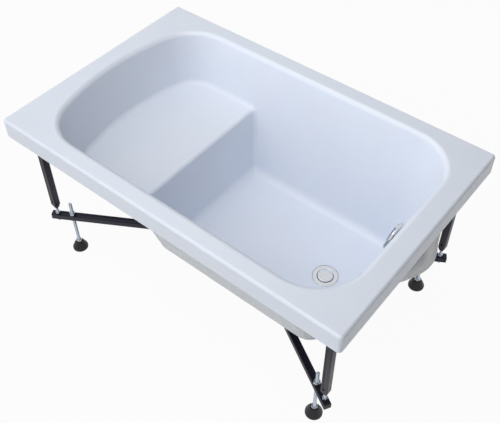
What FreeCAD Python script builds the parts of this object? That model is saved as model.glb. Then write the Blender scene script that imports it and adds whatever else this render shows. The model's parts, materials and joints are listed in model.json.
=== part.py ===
import FreeCAD, Part
import math
import os
import Sketcher

# Compact acrylic bathtub with a moulded seat, on a crossed steel frame with four screw feet.
# Millimetres. +X runs from the seat end to the drain end, +Y to the back, +Z up.
# The origin is on the floor under the middle of the rim.

doc = FreeCAD.newDocument("compact_bathtub")
dim = doc.addObject("Spreadsheet::Sheet", "dim")

SIZES = [
    # rim and skirt
    ("ground_clearance", 134, "floor to the underside of the bars"),
    ("rim_length", 1100, "outside of the rim along X"),
    ("rim_width", 700, "outside of the rim along Y"),
    ("skirt_depth", 57, "rim top to the skirt's lower edge"),
    ("rim_corner_radius", 10, "plan corners of the rim"),
    ("rim_edge_radius", 8, "rounding of the rim's top edge"),
    ("shell_wall", 5, "acrylic sheet"),
    ("backing_wall", 4, "glass fibre layer behind the basin"),
    # basin
    ("end_border", 62, "flat rim at each end"),
    ("side_border", 53, "flat rim along each side"),
    ("basin_corner_radius", 135, "plan corners of the opening"),
    ("head_bow_radius", 714, "bowed seat end of the opening"),
    ("wall_draft", 14.8, "lean of the basin walls, degrees"),
    ("lip_radius", 12, "rounding from the rim into the basin"),
    ("seat_depth", 160, "rim top to the seat"),
    ("seat_front", 161, "seat front edge, behind the middle"),
    ("front_draft", 11, "lean of the seat's front face, degrees"),
    ("seat_edge_radius", 14, "rounding where seat and walls meet"),
    ("floor_depth", 357, "rim top to the footwell floor"),
    ("floor_radius", 24, "rounding round the footwell floor"),
    # base board and rim blocks
    ("board_gap", 19.5, "base board to the drain body's flange"),
    ("board_width", 300, "base board along Y"),
    ("board_thickness", 25, "base board"),
    ("board_setback", 22, "seat front face to the board's edge at the floor"),
    ("board_corner_radius", 20, "plan corners of the board"),
    ("block_length", 74, "rim block along X"),
    ("block_width", 80, "rim block along Y"),
    ("block_thickness", 18, "rim block"),
    ("block_clearance", 2, "rim block to the skirt"),
    # square tube frame
    ("tube_size", 20, "outside of the square tube"),
    ("tube_wall", 1.5, "wall of the square tube"),
    ("tube_corner_radius", 2, "outer corners of the square tube"),
    ("post_end_inset", 53, "post axis from the rim's end"),
    ("post_side_inset", 59, "post axis from the rim's side"),
    ("bar_overhang", 16, "bar end past the post axis"),
    ("foot_setback", 46, "foot axis from the post axis, along the bar"),
    ("cap_thickness", 3, "head of a bar end cap"),
    ("cap_plug_length", 12, "part of the cap inside the tube"),
    ("cap_clearance", 0.2, "cap plug to the tube's bore"),
    ("tip_gap", 26, "bar top to the pinched tip of a post"),
    ("tip_size", 11, "square of the pinched tip"),
    ("pinch_length", 14, "length of the pinch"),
    ("eye_radius", 3.2, "hole above the pinch"),
    ("eye_rise", 30, "hole above the tip"),
    ("plate_length", 50, "post top plate along X"),
    ("plate_width", 46, "post top plate along Y"),
    ("plate_thickness", 3, "post top plate"),
    ("plate_screw_spread", 17, "plate screw from the post axis, along Y"),
    # fasteners
    ("screw_radius", 2.2, "wood screw shank"),
    ("screw_head_radius", 4.5, "wood screw head"),
    ("screw_head_height", 2.6, "wood screw head"),
    ("plate_screw_bite", 15, "plate screw into the rim block"),
    ("board_screw_bite", 18, "board screw into the board"),
    ("board_screw_near", 50, "inner board screw from the middle"),
    ("board_screw_far", 105, "outer board screw from the middle"),
    ("hole_clearance", 0.2, "radial play of a screw in its hole"),
    ("stud_radius", 4, "post stud"),
    ("stud_below", 11, "post stud below the bar"),
    ("stud_bite", 25, "post stud inside the post"),
    ("stud_nut_flats", 13, "post stud nut across flats"),
    ("stud_nut_height", 6.5, "post stud nut"),
    ("thread_clearance", 0.1, "radial play of a rod or stud in its thread"),
    # feet
    ("rod_radius", 5, "foot rod"),
    ("rod_top", 202, "top of the foot rod above the floor"),
    ("rod_seat", 8, "pad floor under the rod"),
    ("foot_nut_flats", 17, "foot nuts across flats"),
    ("foot_nut_height", 8, "foot nuts"),
    ("insert_radius", 7, "threaded insert in the bar"),
    ("insert_flange_radius", 9.5, "insert flange under the bar"),
    ("insert_flange_height", 1.5, "insert flange"),
    ("pad_radius", 24, "foot pad at the floor"),
    ("pad_rim_height", 5, "straight edge of the pad"),
    ("pad_top_radius", 12, "foot pad at the top"),
    ("pad_height", 30, "foot pad"),
    ("pad_rounding", 7, "rounding of the pad's shoulder"),
    ("socket_clearance", 0.3, "radial play of the rod in the pad"),
    # drain
    ("drain_inset", 195, "drain axis from the opening's end"),
    ("recess_radius", 37, "recess in the footwell floor"),
    ("recess_depth", 3, "recess in the footwell floor"),
    ("drain_hole_radius", 25, "hole in the footwell floor"),
    ("flange_radius", 36, "drain flange"),
    ("flange_thickness", 2, "drain flange lip"),
    ("flange_chamfer", 0.8, "bevel of the flange lip"),
    ("flange_cup_radius", 23.5, "mouth of the flange cup"),
    ("flange_bore", 21, "bore of the flange tube"),
    ("flange_tube_radius", 24, "outside of the flange tube"),
    ("flange_cup_depth", 6, "depth of the conical cup"),
    ("flange_tube_depth", 34, "flange tube below the floor"),
    ("spider_height", 6, "spokes in the flange tube"),
    ("spider_thickness", 2.4, "spokes in the flange tube"),
    ("hub_radius", 6, "hub between the spokes"),
    ("guide_clearance", 0.3, "radial play of a sliding stem"),
    ("plug_radius", 22, "drain plug"),
    ("plug_thickness", 5, "drain plug"),
    ("plug_rise", 2.5, "top of the shut plug over the floor"),
    ("plug_edge_radius", 1.8, "rounding of the plug's top edge"),
    ("plug_seal_radius", 20.8, "seal under the plug"),
    ("plug_seal_bore", 8, "seal under the plug"),
    ("plug_seal_height", 2.6, "seal under the plug"),
    ("stem_radius", 3, "plug stem"),
    ("stem_length", 46, "plug stem"),
    ("pin_radius", 2.4, "lift pin under the stem"),
    ("pin_length", 35, "lift pin under the stem"),
    ("drain_seal_height", 4, "seal under the backing"),
    ("drain_body_radius", 31, "drain body"),
    ("drain_body_flange", 38, "drain body's top flange"),
    ("drain_flange_height", 4, "drain body's top flange"),
    ("drain_body_depth", 88, "floor to the bottom of the drain body"),
    ("plastic_wall", 3, "wall of the plastic fittings"),
    ("gland_radius", 6.5, "cable gland"),
    ("gland_length", 12, "cable gland"),
    # trap and outlet
    ("trap_setback", 93, "trap axis from the drain axis"),
    ("trap_radius", 36, "trap bottle"),
    ("trap_top_drop", 43, "footwell floor to the top of the trap bottle"),
    ("trap_split_drop", 118, "footwell floor to the lower end of the bottle"),
    ("cup_bottom_drop", 158, "footwell floor to the bottom of the clean-out cup"),
    ("cup_overlap", 9, "clean-out cup over the bottle"),
    ("cup_clearance", 0.3, "radial play of the clean-out cup"),
    ("inlet_radius", 17, "pipe from drain body to trap"),
    ("inlet_drop", 67, "footwell floor to that pipe's axis"),
    ("outlet_radius", 20, "waste outlet spigot"),
    ("outlet_boss_radius", 22, "threaded boss behind the spigot"),
    ("outlet_drop", 86, "footwell floor to the waste outlet's axis"),
    ("outlet_reach", 150, "end of the outlet spigot from the middle"),
    ("union_wall", 7, "union nuts over their pipe"),
    ("union_length", 18, "union nuts"),
    ("outlet_spigot_length", 26, "waste outlet spigot past its boss"),
    # overflow
    ("overflow_depth", 58, "rim top to the overflow axis at the wall"),
    ("overflow_hole_radius", 22, "hole in the basin wall"),
    ("neck_radius", 21, "overflow neck through the wall"),
    ("neck_bore", 17, "overflow neck through the wall"),
    ("overflow_seal_height", 3, "seal behind the wall"),
    ("overflow_seal_radius", 31, "seal behind the wall"),
    ("overflow_body_radius", 32, "overflow body"),
    ("overflow_body_depth", 52, "back of the overflow body behind the wall"),
    ("spigot_setback", 34, "hose spigot axis behind the wall"),
    ("spigot_radius", 14, "hose spigots"),
    ("spigot_length", 22, "hose spigots past their body"),
    ("hose_drop", 67, "footwell floor to the drain body's hose spigot"),
    ("hose_turn", 39, "drain body's hose spigot from +X, degrees"),
    ("rosette_radius", 33, "plate under the knob"),
    ("rosette_thickness", 2.5, "plate under the knob"),
    ("knob_radius", 38, "rotary knob"),
    ("knob_thickness", 6, "rotary knob's disc"),
    ("knob_gap", 1.5, "knob to the plate under it"),
    ("knob_edge_radius", 2, "rounding of the knob's face"),
    ("grip_radius", 31, "half-round grip on the knob"),
    ("grip_height", 6, "half-round grip on the knob"),
    ("spindle_radius", 4, "knob spindle"),
    ("boss_radius", 9, "spindle boss in the overflow body"),
    ("boss_length", 10, "spindle boss in the overflow body"),
    # overflow hose
    ("hose_crest_radius", 19, "hose over its ribs"),
    ("hose_root_radius", 17, "hose between its ribs"),
    ("hose_bore_radius", 15, "hose bore"),
    ("hose_rib_pitch", 6, "rib spacing"),
    ("hose_lead", 58, "hose's straight run from the overflow's spigot"),
    ("gland_bore", 2.5, "cable gland"),
    # modelling
    ("overrun", 2, "cutters past the faces they cut"),
]

DERIVED = [
    ("bar_bottom", "=ground_clearance"),
    ("bar_top", "=bar_bottom + tube_size"),
    ("board_top", "=bar_top + board_thickness"),
    ("floor_level", "=board_top + backing_wall + shell_wall"),
    ("height", "=floor_level + floor_depth"),
    ("basin_length", "=rim_length - 2 * end_border"),
    ("basin_width", "=rim_width - 2 * side_border"),
    ("post_x", "=rim_length / 2 - post_end_inset"),
    ("post_y", "=rim_width / 2 - post_side_inset"),
    ("drain_x", "=basin_length / 2 - drain_inset"),
    ("trap_x", "=drain_x - trap_setback"),
    ("trap_top", "=floor_level - trap_top_drop"),
    ("trap_split", "=floor_level - trap_split_drop"),
    ("cup_bottom", "=floor_level - cup_bottom_drop"),
    ("inlet_level", "=floor_level - inlet_drop"),
    ("outlet_level", "=floor_level - outlet_drop"),
    ("hose_level", "=floor_level - hose_drop"),
    ("tip_level", "=bar_top + tip_gap"),
    ("rim_under", "=height - shell_wall"),
    ("block_under", "=rim_under - block_thickness"),
    ("post_top", "=block_under - plate_thickness"),
    ("bar_turn", "=atan(post_y / post_x) / 1 deg"),
    ("post_reach", "=sqrt(post_x * post_x + post_y * post_y)"),
    ("foot_reach", "=post_reach - foot_setback"),
    ("bar_reach", "=post_reach + bar_overhang"),
    ("front_foot", "=seat_front - tan(front_draft) * (floor_depth - seat_depth)"),
    ("board_left", "=front_foot - board_setback"),
    ("board_right", "=drain_x - drain_body_flange - board_gap"),
    ("wall_back", "=(shell_wall + backing_wall) * cos(wall_draft)"),
    ("overflow_x", "=basin_length / 2 - tan(wall_draft) * overflow_depth"),
    ("overflow_z", "=height - overflow_depth"),
    ("drain_mouth", "=board_top - drain_seal_height"),
    ("drain_bottom", "=floor_level - drain_body_depth"),
    ("plug_top", "=floor_level + plug_rise"),
    ("knob_face", "=rosette_thickness + knob_gap + knob_thickness"),
]

for row, (name, value, meaning) in enumerate(SIZES, start=1):
    dim.set(f"A{row}", name)
    dim.set(f"B{row}", str(value))
    dim.setAlias(f"B{row}", name)
    dim.set(f"C{row}", meaning)
for row, (name, formula) in enumerate(DERIVED, start=len(SIZES) + 1):
    dim.set(f"A{row}", name)
    dim.set(f"B{row}", formula)
    dim.setAlias(f"B{row}", name)
doc.recompute()

FRONT_TO_BACK = {"front": "-", "rear": ""}
LEFT_TO_RIGHT = {"left": "-", "right": ""}
CORNERS = {f"{y_name}_{x_name}": (x_sign, y_sign)
           for y_name, y_sign in FRONT_TO_BACK.items() for x_name, x_sign in LEFT_TO_RIGHT.items()}
UP = FreeCAD.Vector(0, 0, 1)
SIDEWAYS = FreeCAD.Vector(0, 1, 0)
LENGTHWAYS = FreeCAD.Vector(1, 0, 0)
NEAR = 1e-4
pieces = []


def size(name):
    """Value of a named size, for the few places that are worked out here."""
    return float(dim.get(name))


def angle(name):
    return math.radians(size(name))


def bind(thing, **expressions):
    for path, expression in expressions.items():
        thing.setExpression(path, expression)
    return thing


def place(thing, x="0", y="0", z="0", turn=None, axis=UP):
    """Puts a thing at expressions; turn is an expression in degrees about the axis."""
    if turn is not None:
        thing.Placement = FreeCAD.Placement(FreeCAD.Vector(), FreeCAD.Rotation(axis, 1))
        thing.setExpression("Placement.Rotation.Angle", turn)
    thing.setExpression("Placement.Base.x", x)
    thing.setExpression("Placement.Base.y", y)
    thing.setExpression("Placement.Base.z", z)
    return thing


def keep(thing, node):
    """Marks a finished piece and gives it its name."""
    thing.Label = node
    pieces.append(thing)
    return thing


def cylinder(name, radius, height, x="0", y="0", z="0", turn=None, axis=UP):
    thing = doc.addObject("Part::Cylinder", name)
    bind(thing, Radius=radius, Height=height)
    return place(thing, x, y, z, turn, axis)


def block(name, length, width, height, x="0", y="0", z="0"):
    """A box centred on x and y, standing on z."""
    thing = doc.addObject("Part::Box", name)
    bind(thing, Length=length, Width=width, Height=height)
    return place(thing, f"{x} - ({length}) / 2", f"{y} - ({width}) / 2", z)


def hexagon(name, flats, height, x="0", y="0", z="0"):
    thing = doc.addObject("Part::Prism", name)
    thing.Polygon = 6
    bind(thing, Circumradius=f"({flats}) / 2 / cos(30)", Height=height)
    return place(thing, x, y, z)


def cut(name, base, *tools):
    thing = doc.addObject("Part::Cut", name)
    thing.Base = base
    thing.Tool = tools[0] if len(tools) == 1 else group(f"{name}_tools", tools)
    return thing


def fuse(name, *parts):
    thing = doc.addObject("Part::MultiFuse", name)
    thing.Shapes = list(parts)
    return thing


def group(name, parts):
    thing = doc.addObject("Part::Compound", name)
    thing.Links = list(parts)
    return thing


def sketch_on(body, name, role, offset="0"):
    sketch = body.newObject("Sketcher::SketchObject", name)
    plane = next(item for item in body.Origin.OriginFeatures if item.Role == role)
    sketch.AttachmentSupport = (plane, [""])
    sketch.MapMode = "FlatFace"
    sketch.setExpression("AttachmentOffset.Base.z", offset)
    return sketch


def hold(sketch, kind, curve, point, expression, start):
    """Holds a point's distance from the sketch's origin to an expression."""
    if expression == "0":
        sketch.addConstraint(Sketcher.Constraint("PointOnObject", curve, point,
                                                 -2 if kind == "DistanceX" else -1))
        return
    index = sketch.addConstraint(Sketcher.Constraint(kind, -1, 1, curve, point, start))
    sketch.setExpression(f"Constraints[{index}]", expression)


def hold_radius(sketch, curve, expression, start):
    index = sketch.addConstraint(Sketcher.Constraint("Radius", curve, start))
    sketch.setExpression(f"Constraints[{index}]", expression)


def line(x_start, y_start, x_end, y_end):
    return Part.LineSegment(FreeCAD.Vector(x_start, y_start, 0), FreeCAD.Vector(x_end, y_end, 0))


def arc(x, y, radius, start, end):
    circle = Part.Circle(FreeCAD.Vector(x, y, 0), UP, radius)
    return Part.ArcOfCircle(circle, math.radians(start), math.radians(end))


def polygon(sketch, corners):
    """Closed outline of straight lines through corners given as pairs of expressions."""
    first = sketch.GeometryCount
    count = len(corners)
    ring = [(size("height") * (2 + math.cos(math.tau * i / count)),
             size("height") * (2 + math.sin(math.tau * i / count))) for i in range(count)]
    for i in range(count):
        sketch.addGeometry(line(*ring[i], *ring[(i + 1) % count]))
    for i in range(count):
        sketch.addConstraint(Sketcher.Constraint("Coincident", first + i, 2, first + (i + 1) % count, 1))
    for i, (x, y) in enumerate(corners):
        hold(sketch, "DistanceX", first + i, 1, x, ring[i][0])
        hold(sketch, "DistanceY", first + i, 1, y, ring[i][1])


def rectangle(sketch, length, width):
    """Rectangle centred on the sketch's origin."""
    right, back = f"({length}) / 2", f"({width}) / 2"
    polygon(sketch, [(f"-{right}", f"-{back}"), (right, f"-{back}"), (right, back), (f"-{right}", back)])


def circle(sketch, radius, x="0"):
    """Circle on the sketch's own X axis."""
    curve = sketch.addGeometry(Part.Circle(FreeCAD.Vector(size("tube_size"), 0, 0), UP, size("rod_radius")))
    hold_radius(sketch, curve, radius, size("rod_radius"))
    hold(sketch, "DistanceX", curve, 3, x, size("tube_size"))
    sketch.addConstraint(Sketcher.Constraint("PointOnObject", curve, 3, -1))


def finish(feature, body):
    body.Tip = feature
    doc.recompute()
    if not feature.isValid() or body.Shape.isNull():
        raise RuntimeError(f"{feature.Name} fails: {feature.getStatusString()}")
    return feature


def pad(body, name, sketch, length, reversed_way=False):
    feature = body.newObject("PartDesign::Pad", name)
    feature.Profile = sketch
    feature.Reversed = reversed_way
    bind(feature, Length=length)
    return finish(feature, body)


def pocket(body, name, sketch, length=None, reversed_way=False):
    """Cuts along the sketch's back side, or right through on both sides without a length."""
    before = body.Shape.Volume
    feature = body.newObject("PartDesign::Pocket", name)
    feature.Profile = sketch
    feature.Reversed = reversed_way
    if length is None:
        feature.Type = "ThroughAll"
        feature.Midplane = True
    else:
        bind(feature, Length=length)
    finish(feature, body)
    if body.Shape.Volume >= before:
        raise RuntimeError(f"{name} cuts nothing")
    return feature


def revolve(node, corners):
    """Round piece: its half section on the XZ plane, turned about Z."""
    body = doc.addObject("PartDesign::Body", node)
    section = sketch_on(body, f"{node}_section", "XZ_Plane")
    polygon(section, corners)
    feature = body.newObject("PartDesign::Revolution", f"{node}_turned")
    feature.Profile = section
    feature.ReferenceAxis = (section, ["V_Axis"])
    feature.Angle = 360
    finish(feature, body)
    return body


def loft(body, name, kind, upper, lower):
    feature = body.newObject(kind, name)
    feature.Profile = upper
    feature.Sections = [lower]
    feature.Ruled = True
    return finish(feature, body)


def fillet(body, name, radius, wanted):
    """Rounds the edges of the body's last feature whose bounding box passes the test."""
    base = body.Tip
    edges = [f"Edge{i}" for i, edge in enumerate(base.Shape.Edges, start=1) if wanted(edge.BoundBox)]
    if not edges:
        raise RuntimeError(f"{name} finds no edge")
    feature = body.newObject("PartDesign::Fillet", name)
    feature.Base = (base, edges)
    bind(feature, Radius=radius)
    return finish(feature, body)


def bore(body, name, radius, height, x="0", y="0", z="0", turn=None, axis=UP):
    """Cuts a plain round hole along a cylinder's axis."""
    before = body.Shape.Volume
    feature = body.newObject("PartDesign::SubtractiveCylinder", name)
    bind(feature, Radius=radius, Height=height)
    place(feature, x, y, z, turn, axis)
    finish(feature, body)
    if body.Shape.Volume >= before:
        raise RuntimeError(f"{name} cuts nothing")
    return feature


def join(body, name, kind, other):
    """Adds or cuts another body's solid."""
    before = body.Shape.Volume
    feature = body.newObject("PartDesign::Boolean", name)
    feature.Type = kind
    feature.setObjects([other])
    finish(feature, body)
    if abs(body.Shape.Volume - before) < 1:
        raise RuntimeError(f"{name} changes nothing")
    return feature


def flat_at(box, level):
    return abs(box.ZMin - level) < NEAR and abs(box.ZMax - level) < NEAR


# The basin: one wide upper part down to the seat, one footwell down to the floor.
# Walls lean by the same draft all round, so plan corners keep their centres and get tighter.

def basin_outline(sketch, grow):
    half, side = size("basin_length") / 2, size("basin_width") / 2
    corner, bow = size("basin_corner_radius"), size("head_bow_radius")
    bow_x = bow - half
    corner_y = side - corner
    head_x = bow_x - math.sqrt((bow - corner) ** 2 - corner_y ** 2)
    foot_x = half - corner
    spread = math.degrees(math.atan2(corner_y, bow_x - head_x))
    sketch.addGeometry([
        line(head_x, -side, foot_x, -side),
        arc(foot_x, -corner_y, corner, -90, 0),
        line(half, -corner_y, half, corner_y),
        arc(foot_x, corner_y, corner, 0, 90),
        line(foot_x, side, head_x, side),
        arc(head_x, corner_y, corner, 90, 180 - spread),
        arc(bow_x, 0, bow, 180 - spread, 180 + spread),
        arc(head_x, -corner_y, corner, 180 + spread, 270)])
    for i in range(8):
        sketch.addConstraint(Sketcher.Constraint("Tangent", i, 2, (i + 1) % 8, 1))
    for curve, kind in ((0, "Horizontal"), (2, "Vertical"), (4, "Horizontal")):
        sketch.addConstraint(Sketcher.Constraint(kind, curve))
    hold(sketch, "DistanceY", 0, 1, f"-(dim.basin_width / 2 + {grow})", -side)
    hold(sketch, "DistanceX", 2, 1, f"dim.basin_length / 2 + {grow}", half)
    hold(sketch, "DistanceY", 4, 1, f"dim.basin_width / 2 + {grow}", side)
    for curve in (1, 3, 5, 7):
        hold_radius(sketch, curve, f"dim.basin_corner_radius + {grow}", corner)
    hold_radius(sketch, 6, f"dim.head_bow_radius + {grow}", bow)
    hold(sketch, "DistanceX", 6, 3, "dim.head_bow_radius - dim.basin_length / 2", bow_x)
    sketch.addConstraint(Sketcher.Constraint("PointOnObject", 6, 3, -1))


def well_outline(sketch, grow, front):
    half, side = size("basin_length") / 2, size("basin_width") / 2
    corner = size("basin_corner_radius")
    left = -size("seat_front")
    sketch.addGeometry([
        line(left, -side, half - corner, -side),
        arc(half - corner, corner - side, corner, -90, 0),
        line(half, corner - side, half, side - corner),
        arc(half - corner, side - corner, corner, 0, 90),
        line(half - corner, side, left, side),
        line(left, side, left, -side)])
    for i in range(4):
        sketch.addConstraint(Sketcher.Constraint("Tangent", i, 2, i + 1, 1))
    for i in (4, 5):
        sketch.addConstraint(Sketcher.Constraint("Coincident", i, 2, (i + 1) % 6, 1))
    for curve, kind in ((0, "Horizontal"), (2, "Vertical"), (4, "Horizontal"), (5, "Vertical")):
        sketch.addConstraint(Sketcher.Constraint(kind, curve))
    hold(sketch, "DistanceY", 0, 1, f"-(dim.basin_width / 2 + {grow})", -side)
    hold(sketch, "DistanceX", 2, 1, f"dim.basin_length / 2 + {grow}", half)
    hold(sketch, "DistanceY", 4, 1, f"dim.basin_width / 2 + {grow}", side)
    hold(sketch, "DistanceX", 5, 1, front, left)
    for curve in (1, 3):
        hold_radius(sketch, curve, f"dim.basin_corner_radius + {grow}", corner)


def basin_form(name, wall, start):
    """Solid of the basin's form, grown by wall, from start below the rim top; walls and corners rounded."""
    def grown(depth):
        return f"({wall}) - tan(dim.wall_draft) * ({depth})"

    def front(depth):
        return f"-dim.seat_front - ({wall}) + tan(dim.front_draft) * ({depth} - dim.seat_depth)"

    def outline(body, part, depth):
        return sketch_on(body, f"{name}_{part}_outline", "XY_Plane", f"dim.height - ({depth})")

    def at_bottom(box):
        return abs(box.ZMax - form_bottom) < NEAR

    seat, floor = f"(dim.seat_depth + {wall})", f"(dim.floor_depth + {wall})"
    upper = doc.addObject("PartDesign::Body", f"{name}_upper")
    rim = outline(upper, "rim", start)
    basin_outline(rim, grown(start))
    bench = outline(upper, "seat", seat)
    basin_outline(bench, grown(seat))
    loft(upper, f"{name}_upper_walls", "PartDesign::AdditiveLoft", rim, bench)
    form_bottom = upper.Shape.BoundBox.ZMin
    fillet(upper, f"{name}_seat_edge", f"dim.seat_edge_radius + {wall}", at_bottom)
    well = doc.addObject("PartDesign::Body", f"{name}_well")
    mouth = outline(well, "mouth", start)
    well_outline(mouth, grown(start), front(start))
    floor_rim = outline(well, "floor", floor)
    well_outline(floor_rim, grown(floor), front(floor))
    loft(well, f"{name}_well_walls", "PartDesign::AdditiveLoft", mouth, floor_rim)
    form_bottom = well.Shape.BoundBox.ZMin
    fillet(well, f"{name}_floor_edge", f"dim.floor_radius + {wall}", at_bottom)
    join(upper, f"{name}_joined", "Fuse", well)
    return upper


def drain_and_overflow_holes(body, name):
    bore(body, f"{name}_drain_hole", "dim.drain_hole_radius", "dim.floor_level", "dim.drain_x")
    reach = "dim.overflow_body_depth"
    bore(body, f"{name}_overflow_hole", "dim.overflow_hole_radius", reach,
         f"dim.overflow_x + {reach} / 2 * cos(dim.wall_draft)", "0",
         f"dim.overflow_z - {reach} / 2 * sin(dim.wall_draft)", "dim.wall_draft - 90", SIDEWAYS)


# Acrylic tub shell: rim with a skirt on four sides and the basin, one sheet.

shell = keep(doc.addObject("PartDesign::Body", "tub_shell"), "tub_shell")
rim_outline = sketch_on(shell, "rim_outline", "XY_Plane", "dim.height - dim.skirt_depth")
rectangle(rim_outline, "dim.rim_length", "dim.rim_width")
pad(shell, "rim_slab", rim_outline, "dim.skirt_depth")
fillet(shell, "rim_plan_corners", "dim.rim_corner_radius", lambda box: box.ZLength > NEAR)
fillet(shell, "rim_top_edges", "dim.rim_edge_radius", lambda box: flat_at(box, size("height")))
hollow_outline = sketch_on(shell, "hollow_outline", "XY_Plane", "dim.height - dim.skirt_depth")
rectangle(hollow_outline, "dim.rim_length - 2 * dim.shell_wall", "dim.rim_width - 2 * dim.shell_wall")
pocket(shell, "skirt_hollow", hollow_outline, "dim.skirt_depth - dim.shell_wall", True)
join(shell, "shell_outside", "Fuse", basin_form("outside", "dim.shell_wall", "0"))
join(shell, "shell_inside", "Cut", basin_form("inside", "0", "0"))
rim_inset = size("rim_edge_radius") + NEAR
fillet(shell, "basin_lip", "dim.lip_radius",
       lambda box: flat_at(box, size("height"))
       and max(abs(box.XMin), abs(box.XMax)) < size("rim_length") / 2 - rim_inset
       and max(abs(box.YMin), abs(box.YMax)) < size("rim_width") / 2 - rim_inset)
bore(shell, "drain_recess", "dim.recess_radius", "dim.recess_depth + dim.floor_radius", "dim.drain_x", "0",
     "dim.floor_level - dim.recess_depth")
drain_and_overflow_holes(shell, "shell")

# Glass fibre backing, sprayed on the outside of the basin below the rim.

backing = basin_form("backing_outside", "(dim.shell_wall + dim.backing_wall)", "dim.shell_wall")
keep(backing, "glass_fibre_backing")
join(backing, "backing_inside", "Cut", basin_form("backing_void", "dim.shell_wall", "dim.shell_wall"))
drain_and_overflow_holes(backing, "backing")

# Base board under the footwell floor, with pilot holes for the frame's screws.

board_x = "(dim.board_right - dim.board_left) / 2"
board = keep(doc.addObject("PartDesign::Body", "base_board"), "base_board")
board_outline = sketch_on(board, "board_outline", "XY_Plane", "dim.bar_top")
rectangle(board_outline, "dim.board_right + dim.board_left", "dim.board_width")
pad(board, "board_slab", board_outline, "dim.board_thickness")
fillet(board, "board_corners", "dim.board_corner_radius", lambda box: box.ZLength > NEAR)
place(board, board_x)
board_screws = []
for corner, (x_sign, y_sign) in CORNERS.items():
    for spot in ("near", "far"):
        reach = f"dim.board_screw_{spot}"
        x = f"{x_sign}{reach} * cos(dim.bar_turn)"
        y = f"{y_sign}{reach} * sin(dim.bar_turn)"
        bore(board, f"board_pilot_{corner}_{spot}", "dim.screw_radius + dim.hole_clearance",
             "dim.board_screw_bite + dim.hole_clearance", f"{x} - {board_x}", y, "dim.bar_top")
        shank = cylinder(f"board_shank_{corner}_{spot}", "dim.screw_radius",
                         "dim.tube_size + dim.board_screw_bite", x, y, "dim.bar_bottom")
        head = cylinder(f"board_head_{corner}_{spot}", "dim.screw_head_radius", "dim.screw_head_height",
                        x, y, "dim.bar_bottom - dim.screw_head_height")
        board_screws.append(fuse(f"board_screw_{corner}_{spot}", shank, head))
keep(group("board_screws_group", board_screws), "board_screws")


# Crossed bars of square tube: one whole, two halves mitred against it and welded.

def bar(node, start, reach, turn, mitred):
    body = doc.addObject("PartDesign::Body", node)
    section = sketch_on(body, f"{node}_section", "YZ_Plane", start)
    rectangle(section, "dim.tube_size", "dim.tube_size")
    pad(body, f"{node}_length", section, f"{reach} - ({start})")
    fillet(body, f"{node}_corners", "dim.tube_corner_radius", lambda box: box.XLength > NEAR)
    hollow = sketch_on(body, f"{node}_hollow", "YZ_Plane", f"{start} - dim.overrun")
    inside = "dim.tube_size - 2 * dim.tube_wall"
    rectangle(hollow, inside, inside)
    pocket(body, f"{node}_bore", hollow, f"{reach} - ({start}) + 2 * dim.overrun", True)
    sides = ("",) if mitred else ("", "-")
    holes = sketch_on(body, f"{node}_holes", "XY_Plane")
    for sign in sides:
        circle(holes, "dim.insert_radius + dim.thread_clearance", f"{sign}dim.foot_reach")
        circle(holes, "dim.stud_radius + dim.hole_clearance", f"{sign}dim.post_reach")
        circle(holes, "dim.screw_radius + dim.hole_clearance", f"{sign}dim.board_screw_near")
        circle(holes, "dim.screw_radius + dim.hole_clearance", f"{sign}dim.board_screw_far")
    pocket(body, f"{node}_drilled", holes)
    if mitred:
        mitre = sketch_on(body, f"{node}_mitre", "XY_Plane")
        half_length, half_width = "2 * dim.tube_size", "dim.tube_size / 2"
        cosine, sine = "cos(2 * dim.bar_turn)", "sin(2 * dim.bar_turn)"
        along = (f"{half_length} * {cosine}", f"{half_length} * {sine}")
        across = (f"{half_width} * {sine}", f"{half_width} * {cosine}")
        polygon(mitre, [(f"-{along[0]} + {across[0]}", f"-{along[1]} - {across[1]}"),
                        (f"{along[0]} + {across[0]}", f"{along[1]} - {across[1]}"),
                        (f"{along[0]} - {across[0]}", f"{along[1]} + {across[1]}"),
                        (f"-{along[0]} - {across[0]}", f"-{along[1]} + {across[1]}")])
        pocket(body, f"{node}_mitre_cut", mitre)
    place(body, z="dim.bar_bottom + dim.tube_size / 2", turn=turn)
    return keep(body, node)


bar("long_bar", "-dim.bar_reach", "dim.bar_reach", "dim.bar_turn", False)
bar("half_bar_front", "0", "dim.bar_reach", "-dim.bar_turn", True)
bar("half_bar_rear", "0", "dim.bar_reach", "180 - dim.bar_turn", True)

TURNS = {"rear_right": "dim.bar_turn", "front_left": "dim.bar_turn + 180",
         "front_right": "-dim.bar_turn", "rear_left": "180 - dim.bar_turn"}


# One corner of the frame: end cap, post with its top plate, stud and nuts, insert and lock nut.

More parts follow.
